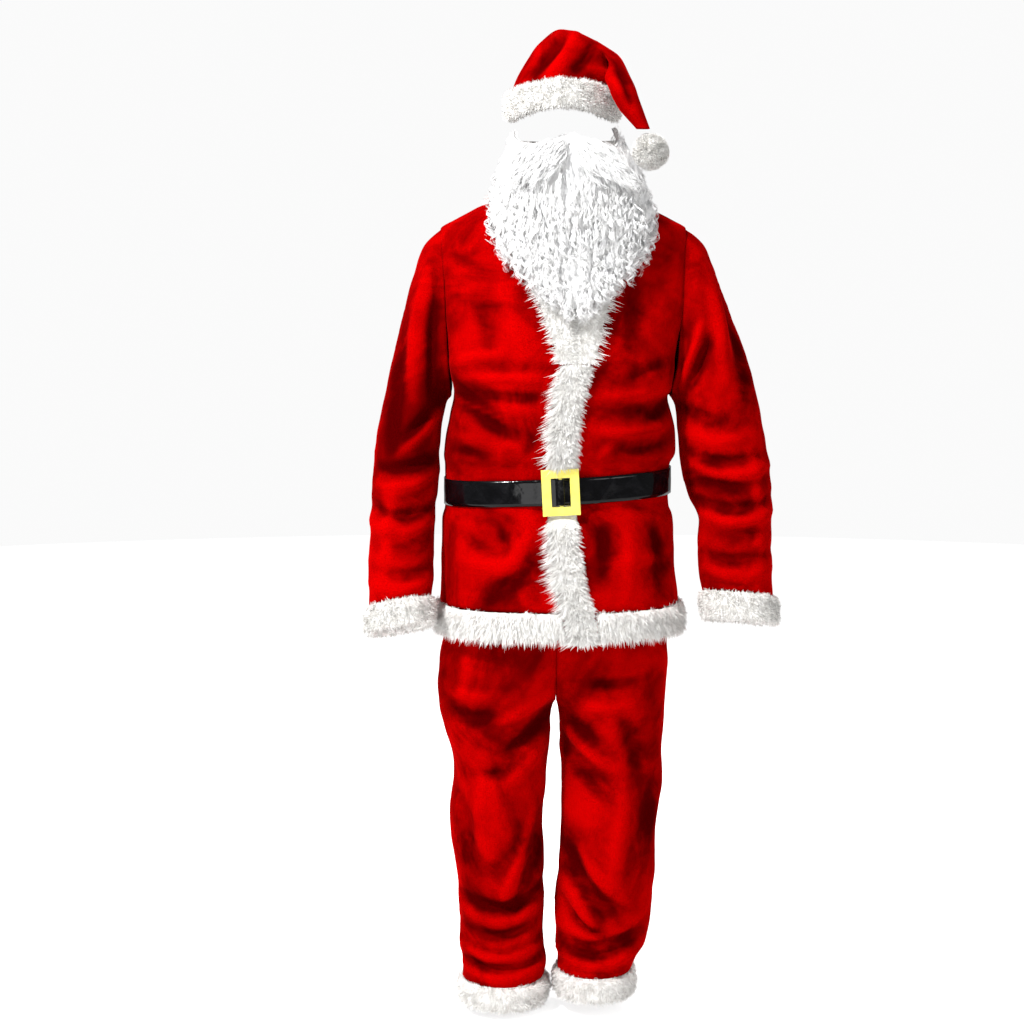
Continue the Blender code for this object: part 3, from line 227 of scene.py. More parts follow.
LEFT_LEG = ("z outer inner y depth", [
    (-0.440, 0.153, -0.178, 0.000, 0.112),
    (-0.560, 0.163, -0.188, 0.000, 0.117),
    (-0.660, 0.180, -0.195, -0.001, 0.124),
    (-0.760, 0.1890, -0.160, -0.002, 0.128),
    (-0.800, 0.1890, -0.118, -0.003, 0.126),
    (-0.845, 0.1860, -0.060, -0.004, 0.121),
    (-0.885, 0.1840, -0.0127, -0.005, 0.116),
    (-0.930, 0.1825, -0.0055, -0.006, 0.110),
    (-1.019, 0.1805, -0.0020, -0.009, 0.099),
    (-1.091, 0.1730, -0.0025, -0.010, 0.094),
    (-1.150, 0.1680, -0.0040, -0.009, 0.092),
    (-1.193, 0.1700, -0.0062, -0.006, 0.091),
    (-1.235, 0.1665, -0.0100, -0.004, 0.090),
    (-1.290, 0.1595, -0.0175, -0.003, 0.088),
    (-1.322, 0.1520, -0.0185, -0.006, 0.086),
    (-1.345, 0.1370, -0.0080, -0.012, 0.082),
    (-1.368, 0.1260, -0.0070, -0.017, 0.081),
])
# Hat: the upper and the lower outline point of each ring, from the brim over the top and down the tail,
# and how far the ring's front and back are raised above its sides.
HAT = ("out_x out_z in_x in_z y depth front back", [
    (-0.0880, 0.203, 0.0860, 0.2030, 0.000, 0.099, 0.017, 0.031),
    (-0.0790, 0.229, 0.0895, 0.2145, 0.000, 0.096, 0.015, 0.026),
    (-0.0640, 0.258, 0.0915, 0.2250, -0.001, 0.088, 0.011, 0.017),
    (-0.0400, 0.290, 0.0915, 0.2345, -0.003, 0.077, 0.007, 0.007),
    (-0.0050, 0.3115, 0.0890, 0.2420, -0.008, 0.066, 0.002, 0.000),
    (0.0330, 0.3020, 0.0840, 0.2450, -0.017, 0.056, 0.000, 0.000),
    (0.0670, 0.2830, 0.0785, 0.2420, -0.031, 0.047, 0.000, 0.000),
    (0.0960, 0.2610, 0.0750, 0.2330, -0.051, 0.040, 0.000, 0.000),
    (0.1100, 0.2330, 0.0750, 0.2180, -0.075, 0.033, 0.000, 0.000),
    (0.1200, 0.2060, 0.0795, 0.1950, -0.097, 0.027, 0.000, 0.000),
    (0.1290, 0.1800, 0.0890, 0.1720, -0.109, 0.023, 0.000, 0.000),
    (0.1370, 0.1540, 0.1050, 0.1520, -0.115, 0.019, 0.000, 0.000),
    (0.1450, 0.1320, 0.1230, 0.1320, -0.118, 0.014, 0.000, 0.000),
])
POMPOM_AT = (0.1470, -0.118, 0.0935)
# Beard sections: height, centre, half width, y at the sides and at the middle.
BEARD = ("z centre half side front", [
    (-0.200, 0.020, 0.050, -0.168, -0.173),
    (-0.160, 0.016, 0.078, -0.150, -0.168),
    (-0.110, 0.012, 0.104, -0.124, -0.158),
    (-0.060, 0.014, 0.128, -0.100, -0.152),
    (-0.010, 0.015, 0.147, -0.072, -0.148),
    (0.030, 0.012, 0.141, -0.050, -0.145),
    (0.075, 0.010, 0.126, -0.030, -0.141),
    (0.110, 0.006, 0.110, -0.014, -0.134),
    (0.150, 0.003, 0.098, -0.006, -0.126),
])
# The beard's edges across its width: share of the half width, upper and lower edge.
BEARD_EDGES = ("share top bottom", [
    (-1.00, 0.138, -0.010),
    (-0.85, 0.130, -0.052),
    (-0.60, 0.114, -0.100),
    (-0.30, 0.111, -0.140),
    (0.00, 0.125, -0.172),
    (0.30, 0.115, -0.158),
    (0.60, 0.110, -0.115),
    (0.85, 0.128, -0.066),
    (1.00, 0.146, -0.030),
])
# The largest folds: front or back, three points of a bend across it, half width, depth (- is a trough).
FOLDS = ("sheet x1 z1 x2 z2 x3 z3 width depth", [
    ("front", -0.186, -0.307, -0.142, -0.372, -0.073, -0.397, 0.016, -0.008),
    ("front", -0.190, -0.350, -0.130, -0.410, -0.050, -0.425, 0.014, 0.005),
    ("front", -0.177, -0.268, -0.100, -0.280, -0.021, -0.272, 0.012, -0.004),
    ("front", 0.050, -0.352, 0.110, -0.356, 0.180, -0.346, 0.014, -0.005),
    ("front", -0.160, -0.653, -0.081, -0.668, -0.030, -0.560, 0.018, -0.005),
    ("front", 0.222, -0.186, 0.205, -0.240, 0.196, -0.299, 0.013, -0.006),
    ("front", 0.225, -0.470, 0.300, -0.500, 0.366, -0.470, 0.017, -0.007),
    ("front", 0.240, -0.560, 0.300, -0.580, 0.365, -0.556, 0.016, -0.006),
    ("front", -0.340, -0.575, -0.290, -0.615, -0.230, -0.575, 0.018, -0.006),
    ("front", -0.004, -0.872, 0.030, -0.925, 0.090, -0.956, 0.016, -0.006),
    ("front", -0.004, -0.924, 0.040, -0.985, 0.090, -1.003, 0.015, -0.006),
    ("front", -0.180, -1.090, -0.120, -1.262, -0.045, -1.060, 0.019, -0.008),
    ("front", -0.180, -1.300, -0.110, -1.350, -0.040, -1.305, 0.013, -0.006),
    ("front", 0.008, -1.110, 0.050, -1.275, 0.125, -1.235, 0.019, -0.008),
    ("front", 0.000, -1.300, 0.060, -1.320, 0.130, -1.285, 0.014, -0.007),
    ("back", -0.180, -0.380, 0.000, -0.425, 0.170, -0.375, 0.018, -0.006),
    ("back", -0.170, -0.300, -0.080, -0.350, 0.060, -0.340, 0.018, 0.005),
    ("back", -0.180, -0.970, -0.110, -1.030, -0.040, -0.980, 0.018, -0.007),
    ("back", 0.010, -0.990, 0.070, -1.050, 0.150, -0.990, 0.018, -0.007),
    ("back", -0.335, -0.450, -0.280, -0.480, -0.230, -0.500, 0.017, -0.006),
    ("back", 0.360, -0.430, 0.300, -0.470, 0.230, -0.490, 0.017, -0.006),
])
FOLD_FREE_OF_BELT = 0.055  # no fold this near the belt, which presses the cloth flat


# ---------------------------------------------------------------- tables made smooth
class Table:
    """Columns of a short table, read between the rows along smooth curves that don't overshoot."""

    def __init__(self, table):
        names, rows = table
        self.names = names.split()
        self.rows = rows
        self.columns = {n: np.array([r[k] for r in rows]) for k, n in enumerate(self.names)}

    def read(self, at, by=None):
        """Every number column at `at`, along column `by`, or along the row number."""
        keys = np.arange(len(self.rows), dtype=float) if by is None else self.columns[by]
        return {n: smooth(at, keys, c) for n, c in self.columns.items() if n != by and c.dtype.kind in "fi"}


def smooth(at, keys, values):
    """Piecewise cubic through the values, flat at their turning points."""
    values = values.astype(float)
    step = np.diff(keys)
    rise = np.diff(values) / step
    slope = np.zeros(len(values))
    left, right = rise[:-1], rise[1:]
    same = left * right > 0
    slope[1:-1][same] = 2 * (left * right)[same] / (left + right)[same]
    slope[0], slope[-1] = rise[0], rise[-1]
    at = np.clip(np.asarray(at, float), keys[0], keys[-1])
    i = np.clip(np.searchsorted(keys, at, side="right") - 1, 0, len(step) - 1)
    t = (at - keys[i]) / step[i]
    a, b = values[i], values[i + 1]
    m, n = slope[i] * step[i], slope[i + 1] * step[i]
    return (
        a * (1 + 2 * t) * (1 - t) ** 2
        + b * t * t * (3 - 2 * t)
        + m * t * (1 - t) ** 2
        - n * t * t * (1 - t)
    )


def stack(x, y, z):
    """Points from three arrays of any shapes that fit together."""
    return np.stack(np.broadcast_arrays(x, y, z), axis=-1).astype(float)


def unit(v):
    return v / np.maximum(np.linalg.norm(v, axis=-1, keepdims=True), 1e-12)


def ease(t):
    t = np.clip(t, 0, 1)
    return t * t * (3 - 2 * t)


# ---------------------------------------------------------------- the torso's form
torso_table = Table(TORSO)


def torso(z):
    """(centre, half width, front depth, back depth, half width at the side seams and armholes) at z."""
    row = torso_table.read(z, "z")
    cut = row["half"]
    up = np.clip((z - ARMPIT_Z) / (SHOULDER_Z - ARMPIT_Z), 0, 1)
    return row["centre"], cut + ARMHOLE_SWELL * np.sin(math.pi * up), row["front"], row["back"], cut


def on_torso(x, z, sheet):
    centre, half, front, back, _ = torso(z)
    across = np.clip(np.abs(x - centre) / half, 0, 1)
    deep = (1 - across ** TORSO_POWER) ** (1 / TORSO_POWER)
    return stack(x, deep * (back if sheet == "back" else -front), z)


def torso_x(u, z):
    """x for u from -1 to 1 between the side seams or armholes."""
    centre, half, _, _, cut = torso(z)
    edge = np.arcsin(np.clip(cut / half, 0, 1))
    return centre + cut * np.sin(edge * u) / np.sin(edge)


def torso_u(x, z):
    centre, half, _, _, cut = torso(z)
    edge = np.arcsin(np.clip(cut / half, 0, 1))
    return np.arcsin(np.clip((x - centre) / cut * np.sin(edge), -1, 1)) / edge


def steepest(level, points, step=0.0005):
    """The way out of a form, from the slope of its equation."""
    slopes = []
    for axis in range(3):
        move = np.zeros(3)
        move[axis] = step
        slopes.append(level(points + move) - level(points - move))
    return unit(np.stack(slopes, axis=-1))


def torso_normal(points):
    def level(p):
        centre, half, front, back, _ = torso(p[..., 2])
        deep = np.where(p[..., 1] > 0, back, front)
        return (np.abs(p[..., 0] - centre) / half) ** TORSO_POWER + (np.abs(p[..., 1]) / deep) ** TORSO_POWER

    return steepest(level, points)


def shoulder_z(x):
    """The height of the shoulder line at x."""
    heights = np.linspace(SHOULDER_Z, NECK_SIDE_Z + 0.01, 60)
    widths = torso_table.read(heights, "z")["half"]
    z = np.interp(np.abs(x), widths[::-1], heights[::-1])
    return np.where(np.abs(x) > SHOULDER_X - 1e-6, SHOULDER_Z, z)


def patch(bottom, top, left, right, columns):
    """A grid of (u, z) between four edges. The side edges are lists, the others functions of a share."""
    s = np.linspace(0, 1, columns)[None]
    rows = len(left)
    t = np.linspace(0, 1, rows)[:, None]
    grid = []
    for k in range(2):
        west, east = np.array(left)[:, k:k + 1], np.array(right)[:, k:k + 1]
        low, high = bottom(s)[k], top(s)[k]
        corners = (1 - t) * ((1 - s) * west[0] + s * east[0]) + t * ((1 - s) * west[-1] + s * east[-1])
        grid.append((1 - t) * low + t * high + (1 - s) * west + s * east - corners)
    return grid


# ---------------------------------------------------------------- the cloth's finer folds
# The same columns as FOLDS. They add to the largest ones, FINE_DEPTH times as deep as written here.
FINE_FOLDS = ("sheet x1 z1 x2 z2 x3 z3 width depth", [
    ("front", -0.193, -0.268, -0.157, -0.260, -0.110, -0.250, 0.009, 0.0040),
    ("front", -0.178, -0.292, -0.100, -0.298, -0.030, -0.290, 0.008, 0.0032),
    ("front", -0.150, -0.318, -0.085, -0.332, -0.034, -0.322, 0.008, -0.0035),
    ("front", -0.192, -0.330, -0.150, -0.345, -0.100, -0.370, 0.007, 0.0040),
    ("front", -0.120, -0.340, -0.085, -0.352, -0.045, -0.346, 0.008, 0.0028),
    ("front", -0.150, -0.160, -0.120, -0.215, -0.130, -0.260, 0.016, -0.0030),
    ("front", -0.110, -0.120, -0.090, -0.190, -0.070, -0.240, 0.014, 0.0026),
    ("front", -0.188, -0.395, -0.150, -0.400, -0.110, -0.420, 0.008, 0.0035),
    ("front", -0.190, -0.420, -0.165, -0.418, -0.140, -0.432, 0.007, -0.0030),
    ("front", -0.070, -0.432, -0.060, -0.412, -0.056, -0.392, 0.008, -0.0028),
    ("front", -0.110, -0.440, -0.104, -0.420, -0.092, -0.404, 0.007, 0.0026),
    ("front", 0.056, -0.384, 0.120, -0.394, 0.184, -0.380, 0.009, 0.0042),
    ("front", 0.070, -0.322, 0.120, -0.330, 0.186, -0.312, 0.010, 0.0026),
    ("front", 0.090, -0.415, 0.130, -0.425, 0.180, -0.410, 0.008, -0.0030),
    ("front", 0.060, -0.436, 0.070, -0.418, 0.086, -0.406, 0.007, 0.0026),
    ("front", 0.110, -0.300, 0.150, -0.270, 0.192, -0.262, 0.010, -0.0028),
    ("front", 0.130, -0.150, 0.110, -0.210, 0.120, -0.262, 0.016, -0.0026),
    ("front", 0.190, -0.330, 0.176, -0.352, 0.150, -0.362, 0.008, -0.0045),
    ("front", -0.186, -0.560, -0.150, -0.590, -0.110, -0.600, 0.010, -0.0035),
    ("front", -0.180, -0.610, -0.130, -0.632, -0.080, -0.618, 0.009, 0.0036),
    ("front", -0.060, -0.555, -0.075, -0.610, -0.120, -0.640, 0.009, 0.0036),
    ("front", -0.150, -0.690, -0.110, -0.665, -0.070, -0.640, 0.010, -0.0030),
    ("front", -0.112, -0.545, -0.100, -0.575, -0.094, -0.600, 0.008, -0.0028),
    ("front", 0.060, -0.548, 0.074, -0.590, 0.066, -0.650, 0.012, -0.0030),
    ("front", 0.110, -0.545, 0.120, -0.600, 0.112, -0.680, 0.014, 0.0034),
    ("front", 0.160, -0.550, 0.164, -0.600, 0.176, -0.670, 0.012, -0.0034),
    ("front", 0.060, -0.610, 0.120, -0.622, 0.190, -0.600, 0.010, 0.0022),
    # right sleeve
    ("front", -0.236, -0.110, -0.262, -0.220, -0.262, -0.330, 0.011, 0.0048),
    ("front", -0.222, -0.150, -0.232, -0.240, -0.226, -0.330, 0.009, -0.0050),
    ("front", -0.276, -0.180, -0.296, -0.300, -0.300, -0.420, 0.012, -0.0040),
    ("front", -0.212, -0.330, -0.236, -0.372, -0.276, -0.398, 0.010, -0.0052),
    ("front", -0.214, -0.352, -0.246, -0.400, -0.290, -0.430, 0.008, 0.0038),
    ("front", -0.226, -0.430, -0.262, -0.462, -0.318, -0.452, 0.010, -0.0045),
    ("front", -0.226, -0.462, -0.270, -0.500, -0.330, -0.482, 0.009, 0.0040),
    ("front", -0.232, -0.520, -0.276, -0.548, -0.338, -0.520, 0.010, -0.0052),
    ("front", -0.236, -0.550, -0.290, -0.582, -0.342, -0.548, 0.009, 0.0044),
    ("front", -0.232, -0.622, -0.276, -0.646, -0.330, -0.625, 0.010, -0.0045),
    ("front", -0.236, -0.650, -0.290, -0.672, -0.340, -0.656, 0.008, 0.0038),
    ("front", -0.300, -0.500, -0.306, -0.570, -0.316, -0.660, 0.012, 0.0036),
    # left sleeve
    ("front", 0.252, -0.110, 0.276, -0.200, 0.284, -0.300, 0.012, 0.0052),
    ("front", 0.276, -0.120, 0.306, -0.230, 0.322, -0.330, 0.010, -0.0046),
    ("front", 0.257, -0.225, 0.235, -0.270, 0.214, -0.322, 0.010, -0.0062),
    ("front", 0.240, -0.200, 0.222, -0.256, 0.206, -0.310, 0.007, 0.0042),
    ("front", 0.210, -0.345, 0.240, -0.372, 0.286, -0.372, 0.010, -0.0055),
    ("front", 0.214, -0.386, 0.256, -0.420, 0.312, -0.402, 0.010, 0.0042),
    ("front", 0.222, -0.428, 0.270, -0.454, 0.350, -0.430, 0.009, -0.0050),
    ("front", 0.232, -0.452, 0.290, -0.482, 0.364, -0.452, 0.008, 0.0046),
    ("front", 0.240, -0.510, 0.290, -0.538, 0.370, -0.506, 0.010, -0.0055),
    ("front", 0.246, -0.536, 0.300, -0.560, 0.368, -0.532, 0.008, 0.0046),
    ("front", 0.246, -0.600, 0.300, -0.620, 0.366, -0.600, 0.010, -0.0042),
    ("front", 0.250, -0.628, 0.310, -0.648, 0.366, -0.632, 0.009, 0.0038),
    ("front", 0.330, -0.400, 0.346, -0.500, 0.344, -0.620, 0.012, 0.0034),
    # trousers, right leg
    ("front", -0.190, -0.880, -0.160, -0.902, -0.128, -0.886, 0.012, -0.0048),
    ("front", -0.206, -0.840, -0.170, -0.862, -0.120, -0.850, 0.010, 0.0030),
    ("front", -0.160, -0.985, -0.130, -1.004, -0.100, -0.984, 0.011, -0.0042),
    ("front", -0.020, -0.880, -0.056, -0.930, -0.100, -0.950, 0.011, -0.0046),
    ("front", -0.020, -0.846, -0.060, -0.884, -0.112, -0.896, 0.009, 0.0040),
    ("front", -0.022, -0.930, -0.060, -0.985, -0.096, -1.010, 0.010, 0.0038),
    ("front", -0.030, -1.070, -0.052, -1.180, -0.088, -1.262, 0.010, -0.0055),
    ("front", -0.050, -1.060, -0.076, -1.160, -0.112, -1.240, 0.009, 0.0042),
    ("front", -0.040, -1.210, -0.100, -1.262, -0.176, -1.220, 0.010, -0.0060),
    ("front", -0.040, -1.238, -0.110, -1.292, -0.176, -1.248, 0.008, 0.0048),
    ("front", -0.044, -1.268, -0.104, -1.312, -0.178, -1.280, 0.009, -0.0050),
    ("front", -0.040, -1.316, -0.110, -1.342, -0.176, -1.318, 0.007, 0.0052),
    ("front", -0.036, -1.336, -0.104, -1.364, -0.176, -1.338, 0.007, -0.0056),
    ("front", -0.040, -1.354, -0.112, -1.382, -0.176, -1.356, 0.006, 0.0048),
    ("front", -0.182, -1.040, -0.160, -1.090, -0.176, -1.160, 0.011, -0.0044),
    ("front", -0.140, -0.960, -0.150, -1.060, -0.130, -1.180, 0.016, 0.0034),
    # trousers, left leg
    ("front", 0.050, -0.826, 0.090, -0.834, 0.140, -0.822, 0.009, -0.0036),
    ("front", 0.032, -0.868, 0.072, -0.880, 0.110, -0.868, 0.010, 0.0034),
    ("front", 0.000, -0.900, 0.026, -0.950, 0.070, -0.982, 0.009, 0.0042),
    ("front", 0.000, -0.950, 0.030, -1.010, 0.080, -1.040, 0.010, -0.0046),
    ("front", 0.100, -0.880, 0.130, -0.940, 0.134, -1.010, 0.013, -0.0036),
    ("front", 0.014, -1.140, 0.040, -1.210, 0.074, -1.250, 0.009, -0.0055),
    ("front", 0.030, -1.130, 0.064, -1.200, 0.110, -1.226, 0.009, 0.0044),
    ("front", 0.006, -1.196, 0.026, -1.252, 0.060, -1.284, 0.009, 0.0048),
    ("front", 0.006, -1.230, 0.036, -1.300, 0.100, -1.290, 0.008, -0.0055),
    ("front", 0.004, -1.282, 0.060, -1.312, 0.130, -1.270, 0.007, 0.0046),
    ("front", 0.000, -1.318, 0.056, -1.340, 0.130, -1.306, 0.007, -0.0056),
    ("front", 0.000, -1.336, 0.060, -1.360, 0.124, -1.330, 0.006, 0.0048),
    ("front", 0.160, -1.010, 0.148, -1.090, 0.156, -1.180, 0.013, -0.0042),
    ("front", 0.110, -1.020, 0.104, -1.110, 0.086, -1.200, 0.014, 0.0034),
    # hat
    ("front", -0.060, 0.226, -0.020, 0.262, 0.000, 0.296, 0.010, -0.0050),
    ("front", -0.030, 0.220, 0.010, 0.262, 0.022, 0.300, 0.009, 0.0048),
    ("front", 0.010, 0.226, 0.044, 0.252, 0.050, 0.286, 0.008, -0.0044),
    ("front", 0.046, 0.236, 0.074, 0.232, 0.094, 0.196, 0.008, 0.0040),
    ("front", 0.080, 0.250, 0.104, 0.216, 0.112, 0.176, 0.006, -0.0034),
    # back of the jacket, sleeves, trousers and hat
    ("back", -0.190, -0.330, -0.100, -0.372, 0.020, -0.380, 0.012, -0.0040),
    ("back", 0.192, -0.320, 0.110, -0.362, 0.000, -0.366, 0.012, 0.0040),
    ("back", -0.150, -0.440, -0.140, -0.415, -0.120, -0.395, 0.008, -0.0030),
    ("back", -0.070, -0.442, -0.060, -0.418, -0.066, -0.396, 0.008, 0.0030),
    ("back", 0.040, -0.440, 0.050, -0.414, 0.046, -0.390, 0.008, -0.0030),
    ("back", 0.130, -0.442, 0.136, -0.418, 0.150, -0.398, 0.008, 0.0030),
    ("back", -0.120, -0.545, -0.130, -0.600, -0.120, -0.670, 0.013, -0.0040),
    ("back", -0.030, -0.545, -0.020, -0.610, -0.030, -0.680, 0.014, 0.0040),
    ("back", 0.070, -0.545, 0.060, -0.600, 0.074, -0.670, 0.012, -0.0038),
    ("back", 0.150, -0.550, 0.160, -0.620, 0.150, -0.680, 0.013, 0.0036),
    ("back", -0.080, -0.120, 0.000, -0.150, 0.090, -0.120, 0.018, -0.0028),
    ("back", -0.160, -0.180, -0.150, -0.250, -0.170, -0.310, 0.014, 0.0030),
    ("back", 0.164, -0.180, 0.150, -0.250, 0.166, -0.310, 0.014, -0.0030),
    ("back", -0.226, -0.340, -0.256, -0.380, -0.310, -0.380, 0.010, -0.0050),
    ("back", -0.232, -0.420, -0.276, -0.450, -0.330, -0.430, 0.009, 0.0044),
    ("back", -0.236, -0.520, -0.290, -0.555, -0.340, -0.530, 0.010, -0.0046),
    ("back", -0.236, -0.610, -0.290, -0.640, -0.340, -0.620, 0.009, 0.0040),
    ("back", 0.226, -0.350, 0.266, -0.385, 0.330, -0.370, 0.010, -0.0050),
    ("back", 0.240, -0.440, 0.300, -0.462, 0.360, -0.440, 0.009, 0.0044),
    ("back", 0.246, -0.530, 0.300, -0.556, 0.366, -0.530, 0.010, -0.0046),
    ("back", 0.250, -0.610, 0.310, -0.640, 0.366, -0.616, 0.009, 0.0040),
    ("back", -0.020, -0.900, -0.070, -0.950, -0.150, -0.930, 0.014, -0.0050),
    ("back", -0.024, -0.960, -0.080, -1.000, -0.160, -0.980, 0.011, 0.0040),
    ("back", 0.000, -0.905, 0.050, -0.955, 0.130, -0.940, 0.014, -0.0050),
    ("back", 0.000, -0.962, 0.060, -1.006, 0.140, -0.985, 0.011, 0.0040),
    ("back", -0.040, -1.200, -0.110, -1.240, -0.180, -1.210, 0.010, -0.0050),
    ("back", -0.040, -1.262, -0.110, -1.300, -0.180, -1.270, 0.009, 0.0044),
    ("back", -0.040, -1.320, -0.110, -1.350, -0.176, -1.326, 0.008, -0.0050),
    ("back", 0.000, -1.190, 0.060, -1.230, 0.150, -1.200, 0.010, -0.0050),
    ("back", 0.000, -1.250, 0.060, -1.290, 0.140, -1.262, 0.009, 0.0044),
    ("back", 0.000, -1.310, 0.060, -1.338, 0.130, -1.312, 0.008, -0.0050),
    ("back", -0.060, 0.240, -0.020, 0.270, 0.010, 0.300, 0.010, -0.0044),
    ("back", 0.000, 0.230, 0.040, 0.262, 0.056, 0.290, 0.009, 0.0040),
])
MADE_OF = {"velour_red": "_cloth", "fur_white": "_fur", "vinyl_black": "_vinyl", "elastic_white": "_elastic"}
FINE_DEPTH = 2.0        # how much deeper the finer folds are made than their table says
SLACK = ((0.085, 0.0034), (0.034, 0.0013))   # the cloth's own unevenness: size across, depth
FRONT_GRID, BACK_GRID = (112, 44), (112, 80)  # rows and columns of each cloth piece's mesh
SLEEVE_GRID, PANEL_GRID, HAT_GRID = (116, 72), (150, 36), (100, 64)
TRIM_STEPS = 160         # places round a cuff where its fur's section is drawn
DOWN = np.array([0, 0, -1.0])


def bend(row, count=24):
    """Points along one fold, a curve between its first and last points, drawn towards its middle one."""
    t = np.linspace(0, 1, count)[:, None]
    a, b, c = (np.array(row[k:k + 2], float) for k in (1, 3, 5))
    return (1 - t) ** 2 * a + 2 * t * (1 - t) * b + t * t * c


def uneven(points, size, depth, seed=0):
    """A smooth random rise and fall over a set of points."""
    flat = points.reshape(-1, 3) / size + seed * 7.3
    return depth * np.array([noise.noise(Vector(p)) for p in flat]).reshape(points.shape[:-1])


def belt_hold(points):
    """0 where the belt presses the cloth flat, 1 away from it."""
    near = np.abs(points[..., 2] - BELT_Z - BELT_TILT * points[..., 0])
    on_jacket = np.abs(points[..., 0]) < SHOULDER_X
    return np.where(on_jacket, ease(near / FOLD_FREE_OF_BELT - 0.4), 1)


def folded(points, normals):
    """The points moved along their normals by all the folds and by the cloth's slack, and each one's rise."""
    flat, out = points.reshape(-1, 3), normals.reshape(-1, 3)
    moved = np.zeros(len(flat))
    for row in FOLDS[1] + FINE_FOLDS[1]:
        line = bend(row)
        width, depth = row[7], row[8] * (1 if row in FOLDS[1] else FINE_DEPTH)
        low, high = line.min(0) - 3 * width, line.max(0) + 3 * width
        near = np.flatnonzero(((flat[:, [0, 2]] > low) & (flat[:, [0, 2]] < high)).all(1))
        if not len(near):
            continue
        away = np.linalg.norm(flat[near][:, None, [0, 2]] - line[None], axis=2)
        share = away.argmin(1) / (len(line) - 1)
        faces = ease(0.5 + 1.2 * out[near, 1] * (1 if row[0] == "back" else -1))
        swell = np.exp(-(away.min(1) / width) ** 2) * np.sin(math.pi * (0.1 + 0.8 * share))
        moved[near] += depth * swell * faces
    moved *= belt_hold(flat)
    rise = moved.copy()
    for k, (size, depth) in enumerate(SLACK):
        moved += uneven(flat, size, depth, k) * (0.35 + 0.65 * belt_hold(flat))
    return (flat + moved[:, None] * out).reshape(points.shape), rise


# ---------------------------------------------------------------- meshes
def finer(grid, rows, columns):
    """A grid of numbers read at more places, along smooth curves."""
    grid = np.asarray(grid, float)
    down, along = np.arange(grid.shape[0], dtype=float), np.arange(grid.shape[1], dtype=float)
    wide = np.stack([smooth(np.linspace(0, along[-1], columns), along, r) for r in grid])
    return np.stack([smooth(np.linspace(0, down[-1], rows), down, c) for c in wide.T], axis=1)


def finer_ring(points):
    """A closed line of points read at TRIM_STEPS places."""
    closed = np.append(points, points[:1], axis=0)
    keys = np.arange(float(len(closed)))
    at = np.linspace(0, keys[-1], TRIM_STEPS + 1)[:-1]
    return np.stack([smooth(at, keys, closed[:, k]) for k in range(3)], axis=1)


def build(name, verts, quads, node, tris=None, tone=None):
    """A mesh object that stands for a node and takes its material.

    `tone` is a number on each point that the material reads: a hair's shade, or a fold's rise, which the
    velour paints as shade in the troughs and a highlight on the crests.
    """
    verts = np.asarray(verts, np.float32)
    quads = np.asarray(quads, np.int32)
    tris = np.zeros((0, 3), np.int32) if tris is None else np.asarray(tris, np.int32)
    mesh = bpy.data.meshes.new(name)
    mesh.vertices.add(len(verts))
    mesh.vertices.foreach_set("co", verts.ravel())
    corners = np.concatenate([quads.ravel(), tris.ravel()])
    mesh.loops.add(len(corners))
    mesh.loops.foreach_set("vertex_index", corners)
    starts = np.concatenate([np.arange(len(quads)) * 4, len(quads) * 4 + np.arange(len(tris)) * 3])
    mesh.polygons.add(len(starts))
    mesh.polygons.foreach_set("loop_start", starts.astype(np.int32))
    mesh.update(calc_edges=True)
    mesh.validate()
    mesh.shade_smooth()
    if tone is not None:
        mesh.attributes.new("tone", "FLOAT", "POINT").data.foreach_set("value", np.asarray(tone, np.float32))
    obj = bpy.data.objects.new(name + MADE_OF.get(SLOTS[node], ""), mesh)
    bpy.context.scene.collection.objects.link(obj)
    mesh.materials.append(MATERIALS[SLOTS[node]])
    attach(obj, "root")
    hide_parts(node)
    return obj


def grid_quads(rows, columns, ring_rows=False, ring_columns=False):
    i, j = np.meshgrid(np.arange(rows if ring_rows else rows - 1),
                       np.arange(columns if ring_columns else columns - 1), indexing="ij")
    a, b = i * columns + j, i * columns + (j + 1) % columns
    c, d = (i + 1) % rows * columns + (j + 1) % columns, (i + 1) % rows * columns + j
    return np.stack([a, b, c, d], axis=-1).reshape(-1, 4)


def shell(name, outer, normals, ring=False, thick=CLOTH, rise=None):
    """A thin closed shell of cloth: its outer points, the same ones moved in, and the rims.

    `rise` is how far the folds lift each outer point, from which the velour paints shade into the troughs and
    a highlight onto the crests.
    """
    rows, columns = outer.shape[:2]
    count = rows * columns
    verts = np.concatenate([outer.reshape(-1, 3), (outer - thick * normals).reshape(-1, 3)])
    face = grid_quads(rows, columns, False, ring)
    a, b, c = (outer.reshape(-1, 3)[face[len(face) // 2, k]] for k in (0, 1, 3))
    if np.cross(b - a, c - a) @ normals.reshape(-1, 3)[face[len(face) // 2, 0]] < 0:
        face = face[:, ::-1]
    inside = face[:, ::-1] + count
    low, high = np.arange(columns), count - columns + np.arange(columns)
    lines = [np.append(low, low[:1]), np.append(high, high[:1])]
    if not ring:
        left = np.arange(rows) * columns
        lines = [low, high, left, left + columns - 1]
    rims = np.concatenate([np.stack([l[:-1], l[1:], l[1:] + count, l[:-1] + count], 1) for l in lines])
    tone = None if rise is None else np.tile(rise, 2)
    obj = build(name, verts, np.concatenate([face, inside, rims]), name, None, tone)
    mesh = bmesh.new()
    mesh.from_mesh(obj.data)
    bmesh.ops.recalc_face_normals(mesh, faces=mesh.faces)
    mesh.to_mesh(obj.data)
    mesh.free()
    return obj


